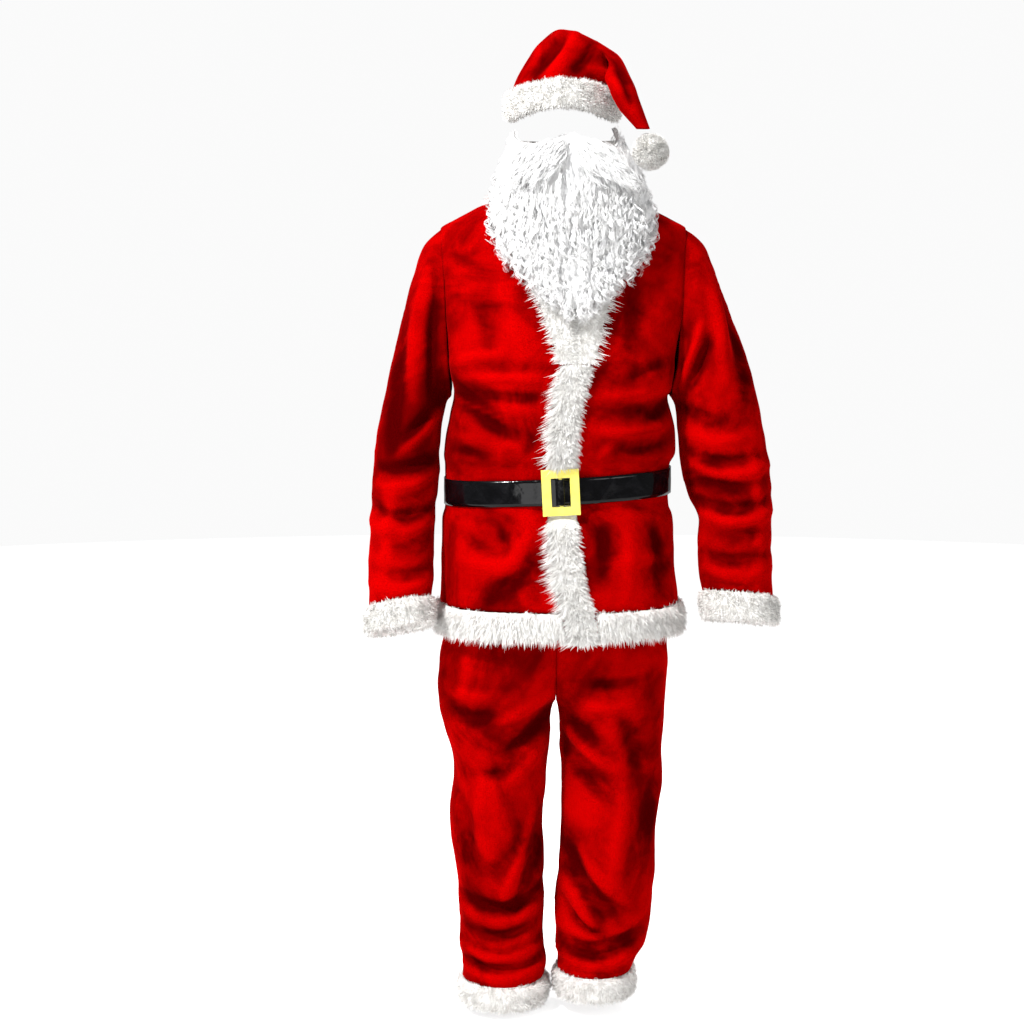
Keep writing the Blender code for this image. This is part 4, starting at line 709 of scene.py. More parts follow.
def seam_dip(shape, sides, reach=0.05, depth=0.0012):
    """How far the cloth is drawn in beside its seams, over a share of the grid."""
    rows, columns = shape
    dip = np.zeros(shape)
    down, along = np.linspace(0, 1, rows)[:, None], np.linspace(0, 1, columns)[None]
    for side in sides:
        away = {"first": along, "last": 1 - along, "bottom": down, "top": 1 - down}[side]
        dip = np.maximum(dip, depth * np.exp(-(away / reach * 2.2) ** 2))
    return dip


# ---------------------------------------------------------------- jacket, sleeves and trousers
ARMHOLE_Z = [
    (SHOULDER_Z + ARMPIT_Z) / 2 - (SHOULDER_Z - ARMPIT_Z) / 2 * math.cos(math.pi * k / ARMHOLE_ROWS)
    for k in range(ARMHOLE_ROWS + 1)
]
ROW_Z = list(SIDE_ROWS) + ARMHOLE_Z
band_table = Table(FRONT_BAND)


def centre_front(z):
    return band_table.read(z, "z")["x"]


def neckline(side, count):
    """(x, z) at even steps along the cloth's neck edge, from the point of the V to the shoulder seam."""
    rows = [r for r in NECK_BAND[1] if r[0] == "front" and r[1] * side > 0 and r[2] > V_POINT_Z + 0.01]
    rows = rows if side < 0 else rows[::-1]
    edge = [(float(centre_front(V_POINT_Z)), V_POINT_Z)]
    edge += [(r[1] + side * NECK_UNDERLAP, r[2] - 0.003) for r in rows[:-1]]
    edge.append((side * NECK_SIDE_X, NECK_SIDE_Z))
    edge = np.array(edge)
    length = np.concatenate([[0], np.cumsum(np.linalg.norm(np.diff(edge, axis=0), axis=1))])
    at = np.linspace(0, length[-1], count)
    return np.stack([np.interp(at, length, edge[:, k]) for k in range(2)], axis=1)


def jacket_front(name, side):
    below = [(float(centre_front(z)), z) for z in SIDE_ROWS + CENTRE_ROWS]
    edge = np.array(below + list(neckline(side, len(ROW_Z) - len(below))))
    inner = np.stack([torso_u(edge[:, 0], edge[:, 1]), edge[:, 1]], axis=1)
    outer = [(side, z) for z in ROW_Z]
    start = float(inner[0, 0])

    def hem(s):
        return start + s * (side - start), HEM_Z + 0 * s

    def shoulder(s):
        x = side * (NECK_SIDE_X + s * (SHOULDER_X - NECK_SIDE_X))
        z = shoulder_z(x)
        return torso_u(x, z), z

    u, z = (finer(g, *FRONT_GRID) for g in patch(hem, shoulder, inner, outer, 9))
    points = on_torso(torso_x(u, z), z, "front")
    points[-1, :, 1] = 0
    normals = torso_normal(points - np.array([0, SEAM, 0]))
    points, rise = folded(points, normals)
    return shell(name, points - seam_dip(u.shape, ["last", "top"])[..., None] * normals, normals, rise=rise)


def jacket_back():
    def neck_and_shoulders(s):
        x = (2 * s - 1) * SHOULDER_X
        neck = BACK_NECK_Z + (NECK_SIDE_Z - BACK_NECK_Z) * (x / NECK_SIDE_X) ** 2
        z = np.where(np.abs(x) > NECK_SIDE_X, shoulder_z(x), neck)
        return torso_u(x, z), z

    def hem(s):
        return 2 * s - 1, HEM_Z + 0 * s

    u, z = (finer(g, *BACK_GRID) for g in
            patch(hem, neck_and_shoulders, [(-1, z) for z in ROW_Z], [(1, z) for z in ROW_Z], 17))
    points = on_torso(torso_x(u, z), z, "back")
    normals = torso_normal(points + np.array([0, SEAM, 0]))
    dip = seam_dip(u.shape, ["first", "last", "top"], reach=0.03)
    points, rise = folded(points, normals)
    return shell("jacket_back", points - dip[..., None] * normals, normals, rise=rise)


def tube_ring(table, v, angle):
    """Points of a tube at row number v. Angle 0 is the outer outline, 90 degrees the front."""
    row = table.read(v)
    flat = 0 * row["y"]
    out = np.stack([row["out_x"], flat, row["out_z"]], -1)
    into = np.stack([row["in_x"], flat, row["in_z"]], -1)
    pitch = np.radians(row.get("pitch", flat))
    deep = row["depth"][..., None] * np.stack([flat, -np.cos(pitch), np.sin(pitch)], -1)
    rise = np.where(np.sin(angle) > 0, row.get("front", flat), row.get("back", flat)) * np.sin(angle) ** 2
    centre = (out + into) / 2 + stack(flat, row["y"], rise)
    return centre + (out - into) / 2 * np.cos(angle)[..., None] + deep * np.sin(angle)[..., None]


def armhole(side, angle):
    z = (SHOULDER_Z + ARMPIT_Z) / 2 + (SHOULDER_Z - ARMPIT_Z) / 2 * np.cos(angle)
    centre, _, _, _, cut = torso(z)
    x = centre + side * cut
    front, back = on_torso(x, z, "front"), on_torso(x, z, "back")
    return np.where((np.sin(angle) > 0)[..., None], front, back)


def section_normals(points, ring_rows=False):
    """The ways out of a row of closed sections, which may close on itself too."""
    around = np.roll(points, -1, 1) - np.roll(points, 1, 1)
    along = np.roll(points, -1, 0) - np.roll(points, 1, 0) if ring_rows else np.gradient(points, axis=0)
    normals = unit(np.cross(along, around))
    return normals * np.sign(((points - points.mean(1, keepdims=True)) * normals).sum())


def tube(table, rows, around):
    angles = np.arange(around) / around * 2 * math.pi
    v, angle = np.meshgrid(np.linspace(0, len(table.rows) - 1, rows), angles, indexing="ij")
    return tube_ring(table, v, angle), v, angle


def sleeve(name, table, side):
    points, v, angle = tube(table, *SLEEVE_GRID)
    join = ease(1 - v / 0.9)[..., None]     # the tube grows out of the armhole's own line
    hole = armhole(side, angle[:1])
    points += join * (hole - points[:1])
    normals = section_normals(points)
    head = ease(1 - v / 0.5)[..., None] * ((1 + np.cos(angle)) / 2)[..., None]
    normals = unit((1 - head) * normals + head * torso_normal(hole))
    points, rise = folded(points, normals)
    points -= seam_dip(v.shape, ["bottom"], reach=0.04, depth=0.0014)[..., None] * normals
    points += 2 * SEAM * np.array([side, 0, 0])
    shell(name, points, normals, ring=True, rise=rise)
    return points


class Leg(Table):
    """A leg's table, read by height from the ankle up."""

    def __init__(self, table, side):
        names, rows = table
        super().__init__((names, rows[::-1]))
        self.side = side

    def at(self, z):
        row = self.read(z, "z")
        centre = (row["outer"] + row["inner"]) / 2
        return centre, np.abs(row["outer"] - row["inner"]) / 2, row["y"], row["depth"]

    def points(self, share, z, sheet):
        centre, half, middle, depth = self.at(z)
        first = np.arccos(np.clip((CROTCH_X - centre) * -self.side / half, -1, 1))
        angle = first + share * (math.pi - first)
        x = centre - self.side * half * np.cos(angle)
        return stack(x, middle + depth * np.sin(angle) * (1 if sheet == "back" else -1), z)

    def normals(self, points):
        def level(p):
            centre, half, middle, depth = self.at(p[..., 2])
            return ((p[..., 0] - centre) / half) ** 2 + ((p[..., 1] - middle) / depth) ** 2

        return steepest(level, points)


def trouser_panel(name, leg, sheet):
    low, high = leg.columns["z"][0], WAIST_Z - WAISTBAND_HEIGHT - 2 * SEAM
    rows, columns = PANEL_GRID
    share, z = np.meshgrid(np.linspace(0, 1, columns), np.linspace(low, high, rows))
    points = leg.points(share, z, sheet)
    normals = leg.normals(points)
    dip = seam_dip(z.shape, ["last"], reach=0.05, depth=0.0010)
    points, rise = folded(points, normals)
    points = points - dip[..., None] * normals
    points[:, 0, 0] = leg.side * np.maximum(leg.side * points[:, 0, 0], leg.side * CROTCH_X + SEAM)
    points[..., 1] += SEAM * (1 if sheet == "back" else -1)
    return shell(name, points, normals, rise=rise)


def waistband(leg, around=240):
    """Gathered on its elastic in small upright pleats."""
    angles = np.arange(around) / around * 2 * math.pi
    rows = []
    for z in np.linspace(WAIST_Z - WAISTBAND_HEIGHT, WAIST_Z, 9):
        centre, half, middle, depth = leg.at(np.array(z))
        rows.append(stack(centre + half * np.cos(angles), middle + depth * np.sin(angles), z))
    points = np.array(rows)
    normals = section_normals(points)
    pleat = 0.0009 * np.cos(angles * 60) * np.sin(np.linspace(0.15, 0.85, 9) * math.pi)[:, None]
    return shell("waistband", points + pleat[..., None] * normals, normals, ring=True, thick=ELASTIC)


# ---------------------------------------------------------------- fur
HAIRS = {  # each fur's long hairs: seed, how many, how long
    "front_band": (11, 15000, 0.0095),
    "neck_band": (12, 18000, 0.0085),
    "hem_trim": (13, 21000, 0.0100),
    "hat_pompom": (14, 10000, 0.0058),
    "hat_brim": (15, 18000, 0.0055),
    "cuff_trim_right": (21, 10000, 0.0060),
    "cuff_trim_left": (22, 10000, 0.0060),
    "ankle_trim_right": (23, 10000, 0.0062),
    "ankle_trim_left": (24, 10000, 0.0062),
}
BAND_LOW, BAND_TOP = -0.752, -0.2702     # the front band's ends
BAND_BASE = 0.80                         # share of the band's width under its dense pile
BAND_PRESSED, BAND_PILE, NECK_PILE = 0.0018, 0.0084, 0.0085


def places(points, count, rng, ring_rows, weight=None):
    """Random places on a grid, as many for each area. It gives a reader for any field on that grid."""
    rows, columns = points.shape[:2]
    flat = points.reshape(-1, 3)
    quads = grid_quads(rows, columns, ring_rows, True)
    first, along, _, across = (flat[quads[:, k]] for k in range(4))
    area = np.linalg.norm(np.cross(along - first, across - first), axis=1)
    if weight is not None:
        area = area * weight.reshape(-1)[quads[:, 0]]
    cell = rng.choice(len(quads), count, p=area / area.sum())
    s, t = rng.random((2, count, 1))

    def read(field):
        field = field.reshape(rows * columns, -1)[quads[cell]]
        low, high = field[:, 0] * (1 - s) + field[:, 1] * s, field[:, 3] * (1 - s) + field[:, 2] * s
        return low * (1 - t) + high * t

    return read


def hairs(roots, ways, droop, lengths, width, normals, parts=2):
    """Tapering flat hairs: vertices, quads and triangles. They bend from `ways` towards `droop`."""
    count = len(roots)
    across = unit(np.cross(ways, normals))
    lines, sides = [], []
    for k in range(parts + 1):
        s = k / parts
        lines.append(roots + lengths[:, None] * (s * ways + 0.5 * s * s * droop))
        sides.append(width * (1 - s) ** 0.6)
    verts = []
    for k in range(parts):
        verts += [lines[k] - sides[k] * across, lines[k] + sides[k] * across]
    verts.append(lines[parts])
    verts = np.stack(verts, axis=1)
    base = np.arange(count)[:, None] * (2 * parts + 1)
    quads = np.concatenate([base + 2 * k + np.array([0, 1, 3, 2]) for k in range(parts - 1)])
    tris = base + np.array([2 * parts - 2, 2 * parts - 1, 2 * parts])
    return verts.reshape(-1, 3), quads, tris


def furry(name, points, normals, comb, width=0.0009, stand=0.8, ragged=0.35, ring_rows=False,
          weight=None, stretch=None):
    """A fur piece: its dense under-pile as a closed form, and the longer hairs that grow on it.

    The points are sections, each closed on itself. `comb` is how far the hairs lie over, `weight` how
    many grow at each point, and `stretch` how long they are there.
    """
    seed, count, length = HAIRS[name]
    rng = np.random.default_rng(seed)
    rows, columns = points.shape[:2]
    lumps = uneven(points, 0.009, 0.0016, seed) + uneven(points, 0.022, 0.0016, seed + 1)
    under = points + lumps[..., None] * normals
    quads = grid_quads(rows, columns, ring_rows, True)
    caps = []
    if not ring_rows:
        for first in (0, (rows - 1) * columns):
            for k in range(columns // 2 - 1):
                caps.append([first + i for i in (k, k + 1, columns - 2 - k, columns - 1 - k)])
    read = places(under, count, rng, ring_rows, weight)
    out, lay = unit(read(normals)), read(comb)
    clump = np.stack([uneven(read(under), 0.011, 1.0, seed + 2 + k) for k in range(3)], axis=1)
    ways = unit(stand * out + lay + 0.55 * clump + rng.normal(0, 0.16, (count, 3)))
    lengths = length * (1 + ragged * rng.normal(0, 1, count)).clip(0.35, 2.2)
    if stretch is not None:
        lengths = lengths * read(stretch)[:, 0]
    more, hair_quads, hair_tris = hairs(read(under) - 0.001 * out, ways, 0.7 * lay, lengths, width, out)
    start = rows * columns
    all_quads = np.concatenate([quads, np.array(caps, int).reshape(-1, 4), hair_quads + start])
    tone = np.concatenate([np.zeros(start), np.repeat(rng.random(count), len(more) // count)])
    return build(name, np.concatenate([under.reshape(-1, 3), more]), all_quads, name, hair_tris + start, tone)


def trim_section(low, high):
    """A trim's rounded section: how far out of the cloth, and the share of its width, at each turn."""
    turn = np.arange(28) / 28 * 2 * math.pi

    def square_off(v):
        return np.sign(v) * np.abs(v) ** 0.62

    off = (low + high) / 2 + (high - low) / 2 * square_off(np.cos(turn))
    return off, 0.5 - 0.46 * square_off(np.sin(turn))


def fur_ring(name, edge, along, width, pile, down=0.35, reach=0.72):
    """A fur trim on the end of a tube: a rounded section carried round the edge."""
    middle = edge.mean(0)
    outwards = unit(edge - middle - ((edge - middle) @ along)[:, None] * along)
    low, high = -0.8 * FUR_ROLL, reach * pile
    off, share = trim_section(low, high)
    points = (edge - CLOTH * outwards)[:, None] + outwards[:, None] * off[None, :, None]
    points = points + along * (SEAM + share * width)[None, :, None]
    normals = section_normals(points, True)
    comb = np.broadcast_to(along * down, points.shape)
    outer = np.clip((off - low) / (high - low) * 1.4, 0.12, 1)
    weight = np.broadcast_to(outer[None, :], points.shape[:2]).copy()
    return furry(name, points, normals, comb, ring_rows=True, weight=weight)


def strip(name, points, thick, comb_down=0.45, hold=None, edges=(1.0, 1.0)):
    """A fur strip on the cloth: points along it and across it, then a domed top as one closed section."""
    normals = torso_normal(points)
    cloth = folded(points, normals)[0] + 0.0005 * normals
    across = np.linspace(-1, 1, points.shape[1])
    dome = np.asarray(thick)[..., None] * (0.30 + 0.70 * (1 - np.abs(across) ** 3.5))
    above = cloth + np.broadcast_to(dome, points.shape[:2])[..., None] * normals
    ring = np.concatenate([cloth - 0.001 * normals, above[:, ::-1]], axis=1)
    way = unit(points[:, -1] - points[:, 0])[:, None]
    share = np.concatenate([across, across[::-1]])[None, :, None]
    top = np.concatenate([-normals, normals], axis=1)
    tilt = top + 0.9 * np.sign(share) * np.abs(share) ** 4 * way
    comb = 0.50 * np.sign(share) * np.abs(share) ** 1.5 * way + comb_down * DOWN
    weight = np.concatenate([np.zeros(normals.shape[:2]), np.ones(normals.shape[:2])], axis=1)
    longer = np.where(share[..., 0] < 0, edges[0], edges[1])
    stretch = np.broadcast_to(0.8 + (1.55 * longer - 0.8) * np.abs(share[..., 0]) ** 2, weight.shape).copy()
    if hold is not None:
        stretch *= (0.25 + 0.75 * hold)[:, None]
        comb = comb + (1 - hold)[:, None, None] * 0.8 * DOWN
    return furry(name, ring, unit(tilt), comb, width=0.0008, weight=weight, stretch=stretch)


def band_edge(z, sign):
    row = band_table.read(np.asarray(z, float), "z")
    return row["x"] + sign * row["half"]


def front_band():
    """The fur down the centre front. The belt presses it flat, and its edges are ragged, mostly one."""
    heights = np.linspace(BAND_LOW, BAND_TOP, 150)
    middle = band_table.read(heights, "z")["x"]
    wide = np.linspace(band_edge(heights, -1), band_edge(heights, 1), 15, axis=1)
    x = middle[:, None] + BAND_BASE * (wide - middle[:, None])
    points = on_torso(x, heights[:, None], "front")
    free = ease((np.abs(heights - BELT_Z + 0.003) - 0.030) / 0.030)   # 0 under the belt, 1 away from it
    thick = BAND_PRESSED + (BAND_PILE - BAND_PRESSED) * free
    strip("front_band", points, thick, hold=free, edges=(1.15, 0.55))


def neck_band():
    """The fur round the neck, from its table of edges, with the ridges of the shoulders between."""
    rows = []
    share = np.linspace(0, 1, 13)
    for sheet, in_x, in_z, out_x, out_z in NECK_BAND[1]:
        x, z = in_x + share * (out_x - in_x), in_z + share * (out_z - in_z)
        row = on_torso(x, z, "back" if sheet == "back" else "front")
        rows.append(row * np.array([1, 0, 1]) if sheet == "ridge" else row)
    rows = np.array(rows)
    steps = 200
    points = np.stack([finer(rows[..., k], steps, 13) for k in range(3)], axis=-1)
    strip("neck_band", points, np.full(steps, NECK_PILE), comb_down=0.25)


def hem_trim(around=260):
    """The fur round the jacket's hem, open where the front band runs through."""
    low = np.array(HEM_Z)
    ends = [float(torso_u(band_edge(HEM_Z, sign) + sign * BAND_GAP, low)) for sign in (1, -1)]
    parts = [(np.linspace(ends[0], 1, around // 4), "front"),
             (np.linspace(1, -1, around // 2)[1:-1], "back"),
             (np.linspace(-1, ends[1], around // 4), "front")]
    edge = np.concatenate([on_torso(torso_x(u, low), low, sheet) for u, sheet in parts])
    outwards = unit(torso_normal(edge) * np.array([1, 1, 0]))
    off, share = trim_section(-0.0056, 0.0080)
    points = edge[:, None] + outwards[:, None] * off[None, :, None]
    points[..., 2] = HEM_Z - SEAM - share[None] * TRIM_WIDTH
    for end, sign in ((0, 1), (-1, -1)):
        points[end, :, 0] = band_edge(points[end, :, 2], sign) + sign * BAND_GAP
    normals = section_normals(points)
    comb = np.broadcast_to(0.7 * DOWN, points.shape)
    outer = np.clip((off + 0.004) / 0.008, 0.12, 1)
    weight = np.broadcast_to(outer[None], points.shape[:2]).copy()
    furry("hem_trim", points, normals, comb, weight=weight)


def pompom():
    """A ball of fur: under-pile and hairs on a grid round its centre."""
    down, around = np.linspace(0.02, 0.98, 40) * math.pi, np.arange(64) / 64 * 2 * math.pi
    up, round_it = np.meshgrid(down, around, indexing="ij")
    normals = stack(np.sin(up) * np.cos(round_it), np.sin(up) * np.sin(round_it), np.cos(up))
    points = np.array(POMPOM_AT) + (POMPOM_RADIUS - 0.006) * normals
    comb = np.broadcast_to(0.12 * DOWN, points.shape)
    return furry("hat_pompom", points, normals, comb, stand=1.4, ragged=0.15)


# ---------------------------------------------------------------- hat
def hat():
    """The crown and its tail in one tube, and the fur of the brim round its first ring."""
    table = Table(HAT)
    points, _, _ = tube(table, *HAT_GRID)
    normals = section_normals(points)
    points, rise = folded(points, normals)
    shell("hat_crown", points, normals, ring=True, rise=rise)
    edge = tube_ring(table, np.zeros(180), np.arange(180) / 180 * 2 * math.pi)
    fur_ring("hat_brim", edge, DOWN, BRIM_HEIGHT, BRIM_PILE, down=0.1, reach=0.80)


# ---------------------------------------------------------------- belt
def belt():
    """Glossy strap on the cloth and the front band, read off its solid and made smooth, with soft creases."""
    node = frame["nodes"]["belt_strap"]
    solid = BVHTree.FromPolygons([v.co for v in node.data.vertices], [p.vertices for p in node.data.polygons])
    around, across = 300, 9
    half_way = np.linspace(-1, 1, around // 2 + 1)
    at_belt = np.array(BELT_Z)
    front = on_torso(torso_x(half_way[:-1], at_belt), at_belt, "front")
    back = on_torso(torso_x(half_way[:0:-1], at_belt), at_belt, "back")
    line = np.concatenate([front, back])
    way = unit(torso_normal(line) * np.array([1, 1, 0]))
    off = []
    for p, n in zip(line, way):
        start = p + 0.03 * n
        start[2] = BELT_Z + BELT_TILT * p[0]
        hit = solid.ray_cast(Vector(start), Vector(-n), 0.06)
        off.append(0.03 - hit[3] if hit[0] is not None else np.nan)
    off = np.array(off)
    off = np.where(np.isnan(off), np.nanmedian(off), off)
    ripple = np.exp(-(np.arange(-9, 10) / 4.5) ** 2)
    off = np.convolve(np.concatenate([off[-9:], off, off[:9]]), ripple / ripple.sum(), "valid")
    share = np.linspace(-0.5, 0.5, across)[:, None]
    points = np.repeat((line + (off - 0.0004)[:, None] * way)[None], across, axis=0)
    points[..., 2] = BELT_Z + BELT_TILT * line[:, 0] + share * BELT_WIDTH
    normals = np.broadcast_to(way, points.shape)
    waves = uneven(points * np.array([1, 1, 0.35]), 0.034, 0.0010, 5) + uneven(points, 0.014, 0.00025, 6)
    at = line[:, 0] - 0.030 * share
    crease = 0.0009 * np.exp(-((at - 0.072) / 0.0028) ** 2) * (line[:, 1] < 0)
    calm = np.where(np.abs(line[:, 0] - BUCKLE_X) < 0.045, 0.25, 1)   # beside the buckle
    points = points + (waves * calm + crease)[..., None] * normals
    return shell("belt_strap", points, normals, ring=True, thick=BELT_THICK)


# ---------------------------------------------------------------- beard
LOCK_STRANDS, STRAND_HALF = 4, 0.0007   # flat strands in each lock, and half the width of one
BASE_THICK = 0.006
beard_table = Table(BEARD)
beard_edges = Table(BEARD_EDGES)


def on_beard(share, z):
    row = beard_table.read(z, "z")
    turn = share * math.pi / 2
    x = row["centre"] + row["half"] * np.sin(turn)
    return stack(x, row["side"] + (row["front"] - row["side"]) * np.cos(turn), z)


def beard_place(share, up):
    """Points of the beard's face from shares of its width and of its height there."""
    edges = beard_edges.read(share, "share")
    return on_beard(share, edges["bottom"] + up * (edges["top"] - edges["bottom"]))


def beard_base():
    """The base under the curls, lumpy with their tufts."""
    share, up = np.meshgrid(np.linspace(-1, 1, 90), np.linspace(0, 1, 70))
    points = beard_place(share, up)
    normals = unit(np.cross(np.gradient(points, axis=1), np.gradient(points, axis=0)))
    edge = np.minimum(1 - np.abs(share), np.minimum(up, 1 - up)) * 8
    lumps = uneven(points, 0.016, 0.0040, 7) + uneven(points, 0.007, 0.0018, 8)
    points = points + (lumps - 0.0060 * (1 - ease(edge)) - 0.0040)[..., None] * normals
    return beard_shell("beard_base", points, normals)


def beard_shell(name, points, normals):
    """The base as a closed wall with rims, for the node that the curls stand for too."""
    rows, columns = points.shape[:2]
    count = rows * columns
    verts = np.concatenate([points.reshape(-1, 3), (points - BASE_THICK * normals).reshape(-1, 3)])
    face = grid_quads(rows, columns)
    low, high, left = np.arange(columns), count - columns + np.arange(columns), np.arange(rows) * columns
    rims = np.concatenate([np.stack([l[:-1], l[1:], l[1:] + count, l[:-1] + count], 1)
                           for l in (low, high[::-1], left[::-1], left + columns - 1)])
    return build(name, verts, np.concatenate([face, face[:, ::-1] + count, rims]), "beard")


def ribbons(name, roots, out, fall, lengths, curl, turns, rng, parts):
    """Curled locks, each of a few flat strands wound on one helix that opens towards its end."""
    count = len(roots)
    side = unit(np.cross(fall, out))
    verts, tone = [], []
    phase = rng.random(count) * 2 * math.pi
    hand = np.where(rng.random(count) < 0.5, -1.0, 1.0)
    shade = rng.random(count)
    for _ in range(LOCK_STRANDS):
        start = phase + rng.normal(0, 0.35, count)
        loose = 1 + 0.22 * rng.normal(0, 1, count)
        offset = rng.normal(0, 0.0014, (count, 3))
        rows = []
        for k in range(parts + 1):
            s = k / parts
            angle = start + hand * turns * 2 * math.pi * s ** 1.15
            radius = curl * loose * (0.15 + 0.85 * s) * (1 - 0.25 * s)
            radial = np.cos(angle)[:, None] * side + np.sin(angle)[:, None] * out
            axis = roots + fall * (lengths * s)[:, None] + out * (0.006 * math.sin(math.pi * min(1, 1.3 * s)))
            at = axis + radius[:, None] * radial + offset
            full = 0.55 + 0.45 * math.sin(math.pi * min(1.0, 0.15 + 0.8 * s))
            half = STRAND_HALF * full * (1 - 0.75 * s ** 4)
            rows.append((at, radial, half))
        ways = np.gradient(np.array([row[0] for row in rows]), axis=0)
        for (at, radial, half), way in zip(rows, ways):
            lift = half * unit(np.cross(way, 0.6 * radial + 0.8 * out))
            verts += [at - lift, at + lift]
            tone += [shade, shade]
    per = 2 * (parts + 1) * LOCK_STRANDS
    verts, tone = np.stack(verts, axis=1), np.stack(tone, axis=1)
    base = np.arange(count)[:, None] * per
    quads = []
    for strand in range(LOCK_STRANDS):
        first = strand * 2 * (parts + 1)
        quads += [base + first + 2 * k + np.array([0, 1, 3, 2]) for k in range(parts)]
    return build(name, verts.reshape(-1, 3), np.concatenate(quads), "beard", None, tone.reshape(-1))


def beard_locks(name, seed, count, low, high, length, curl, turns, parts, rise=0.004):
    """Locks rooted between two height shares of the beard, hanging out and down."""
    rng = np.random.default_rng(seed)
    share = rng.uniform(-1, 1, count)
    share = np.sign(share) * np.abs(share) ** 0.85
    up = rng.uniform(low, high, count)
    roots = beard_place(share, up)
    step, sideways = 0.01, np.array([1.0, 0, 0])
    along = beard_place(np.clip(share + step, -1, 1), up) - beard_place(np.clip(share - step, -1, 1), up)
    out = unit(np.cross(along, beard_place(share, up + step) - beard_place(share, up - step)))
    roots = roots + rng.uniform(-0.010, rise, count)[:, None] * out - 0.010 * sideways * share[:, None]
    fall = DOWN - 0.10 * share[:, None] * sideways + 0.06 * out
    fall = unit(fall + rng.normal(0, 0.10, (count, 3)))
    lengths = length * rng.uniform(0.6, 1.35, count)
    tip = (roots + fall * lengths[:, None])[:, 2]
    floor = beard_edges.read(share, "share")["bottom"] - 0.020 - 0.012 * rng.random(count)
    lengths = np.where(tip < floor, np.maximum(0.022, (roots[:, 2] - floor) / -fall[:, 2]), lengths)
    curls = curl * rng.uniform(0.6, 1.3, count) * (1 + 0.55 * np.abs(share) ** 4)
    wound = turns * rng.uniform(0.7, 1.3, count) * lengths / length
    return ribbons(name, roots, out, fall, lengths, curls, wound, rng, parts)


def moustache(count=320):
    """Longer smooth locks that part under the nose and sweep out to both sides, over the mouth."""
    rng = np.random.default_rng(31)
    side = np.where(rng.random(count) < 0.5, -1.0, 1.0)
    share = side * rng.uniform(0.02, 0.42, count)
    up = rng.uniform(0.84, 0.99, count)
    roots = beard_place(share, up)
    out = unit(stack(0.5 * share, np.full(count, -1.0), 0.15 * np.ones(count)))
    roots = roots + rng.uniform(0.000, 0.009, count)[:, None] * out
    fall = unit(stack(0.75 * side + 0.35 * share, -0.15 * np.ones(count), -0.80 - 0.25 * rng.random(count)))
    lengths = rng.uniform(0.040, 0.070, count)
    return ribbons("beard_moustache", roots, out, fall, lengths, 0.0035 * rng.uniform(0.6, 1.3, count),
                   1.6 * rng.uniform(0.7, 1.3, count), rng, 10)


def beard_strap(around=120):
    """The ribbed elastic that runs behind the head."""
    ends = on_beard(np.array([-1.0, 1.0]), np.array([0.118, 0.118]))
    middle, half = ends.mean(0), (ends[1, 0] - ends[0, 0]) / 2 - 0.004
    turn = np.linspace(-0.5, 0.5, around) * math.pi
    start = middle[1] + 0.010
    line = stack(middle[0] + half * np.sin(turn), start + (STRAP_BACK_Y - start) * np.cos(turn), 0)
    levels = np.linspace(0, 1, 7)
    points = np.array([line + np.array([0, 0, 0.110 + level * STRAP_WIDTH]) for level in levels])
    normals = unit(stack(np.sin(turn) / half, np.cos(turn) / STRAP_BACK_Y, 0 * turn))
    normals = np.broadcast_to(normals, points.shape)
    ribs = 0.0002 * np.abs(np.sin(levels * math.pi * 3))[:, None] * np.ones(around)
    return shell("beard_strap", points - ribs[..., None] * normals, normals, thick=STRAP_THICK)


# ---------------------------------------------------------------- materials
SLOTS = {row["node"]: row["material_slot"] for row in frame["record"]["subparts"]}
MATERIALS = {}


def new_group(name, inputs, outputs):
    """An empty shader group: its tree, with its input and output nodes."""
    tree = bpy.data.node_groups.new(name, "ShaderNodeTree")
    for label, kind, value in inputs:
        socket = tree.interface.new_socket(name=label, in_out="INPUT", socket_type=kind)
        if value is not None:
            socket.default_value = value
    for label, kind in outputs:
        tree.interface.new_socket(name=label, in_out="OUTPUT", socket_type=kind)
    return tree, tree.nodes.new("NodeGroupInput"), tree.nodes.new("NodeGroupOutput")


def noise_node(tree, vector, scale, detail=3.0, rough=0.55, distortion=0.0):
    node = tree.nodes.new("ShaderNodeTexNoise")
    node.inputs["Detail"].default_value = detail
    node.inputs["Roughness"].default_value = rough
    node.inputs["Distortion"].default_value = distortion
    tree.links.new(vector, node.inputs["Vector"])
    if isinstance(scale, (int, float)):
        node.inputs["Scale"].default_value = scale
    else:
        tree.links.new(scale, node.inputs["Scale"])
    return node.outputs["Fac"]


def math_node(tree, operation, a, b, c=None):
    node = tree.nodes.new("ShaderNodeMath")
    node.operation = operation
    for k, value in enumerate((a, b, c)):
        if value is None:
            continue
        if isinstance(value, (int, float)):
            node.inputs[k].default_value = value
        else:
            tree.links.new(value, node.inputs[k])
    return node.outputs[0]


def range_node(tree, value, low, high, to_low=0.0, to_high=1.0):
    node = tree.nodes.new("ShaderNodeMapRange")
    node.interpolation_type = "SMOOTHSTEP"
    tree.links.new(value, node.inputs["Value"])
    for label, number in (("From Min", low), ("From Max", high), ("To Min", to_low), ("To Max", to_high)):
        node.inputs[label].default_value = number
    return node.outputs["Result"]


def mix_node(tree, share, a, b):
    node = tree.nodes.new("ShaderNodeMix")
    node.data_type = "RGBA"
    tree.links.new(share, node.inputs["Factor"])
    for label, value in (("A", a), ("B", b)):
        socket = next(s for s in node.inputs if s.name == label and s.type == "RGBA")
        if isinstance(value, tuple):
            socket.default_value = value
        else:
            tree.links.new(value, socket)
    return next(s for s in node.outputs if s.type == "RGBA")


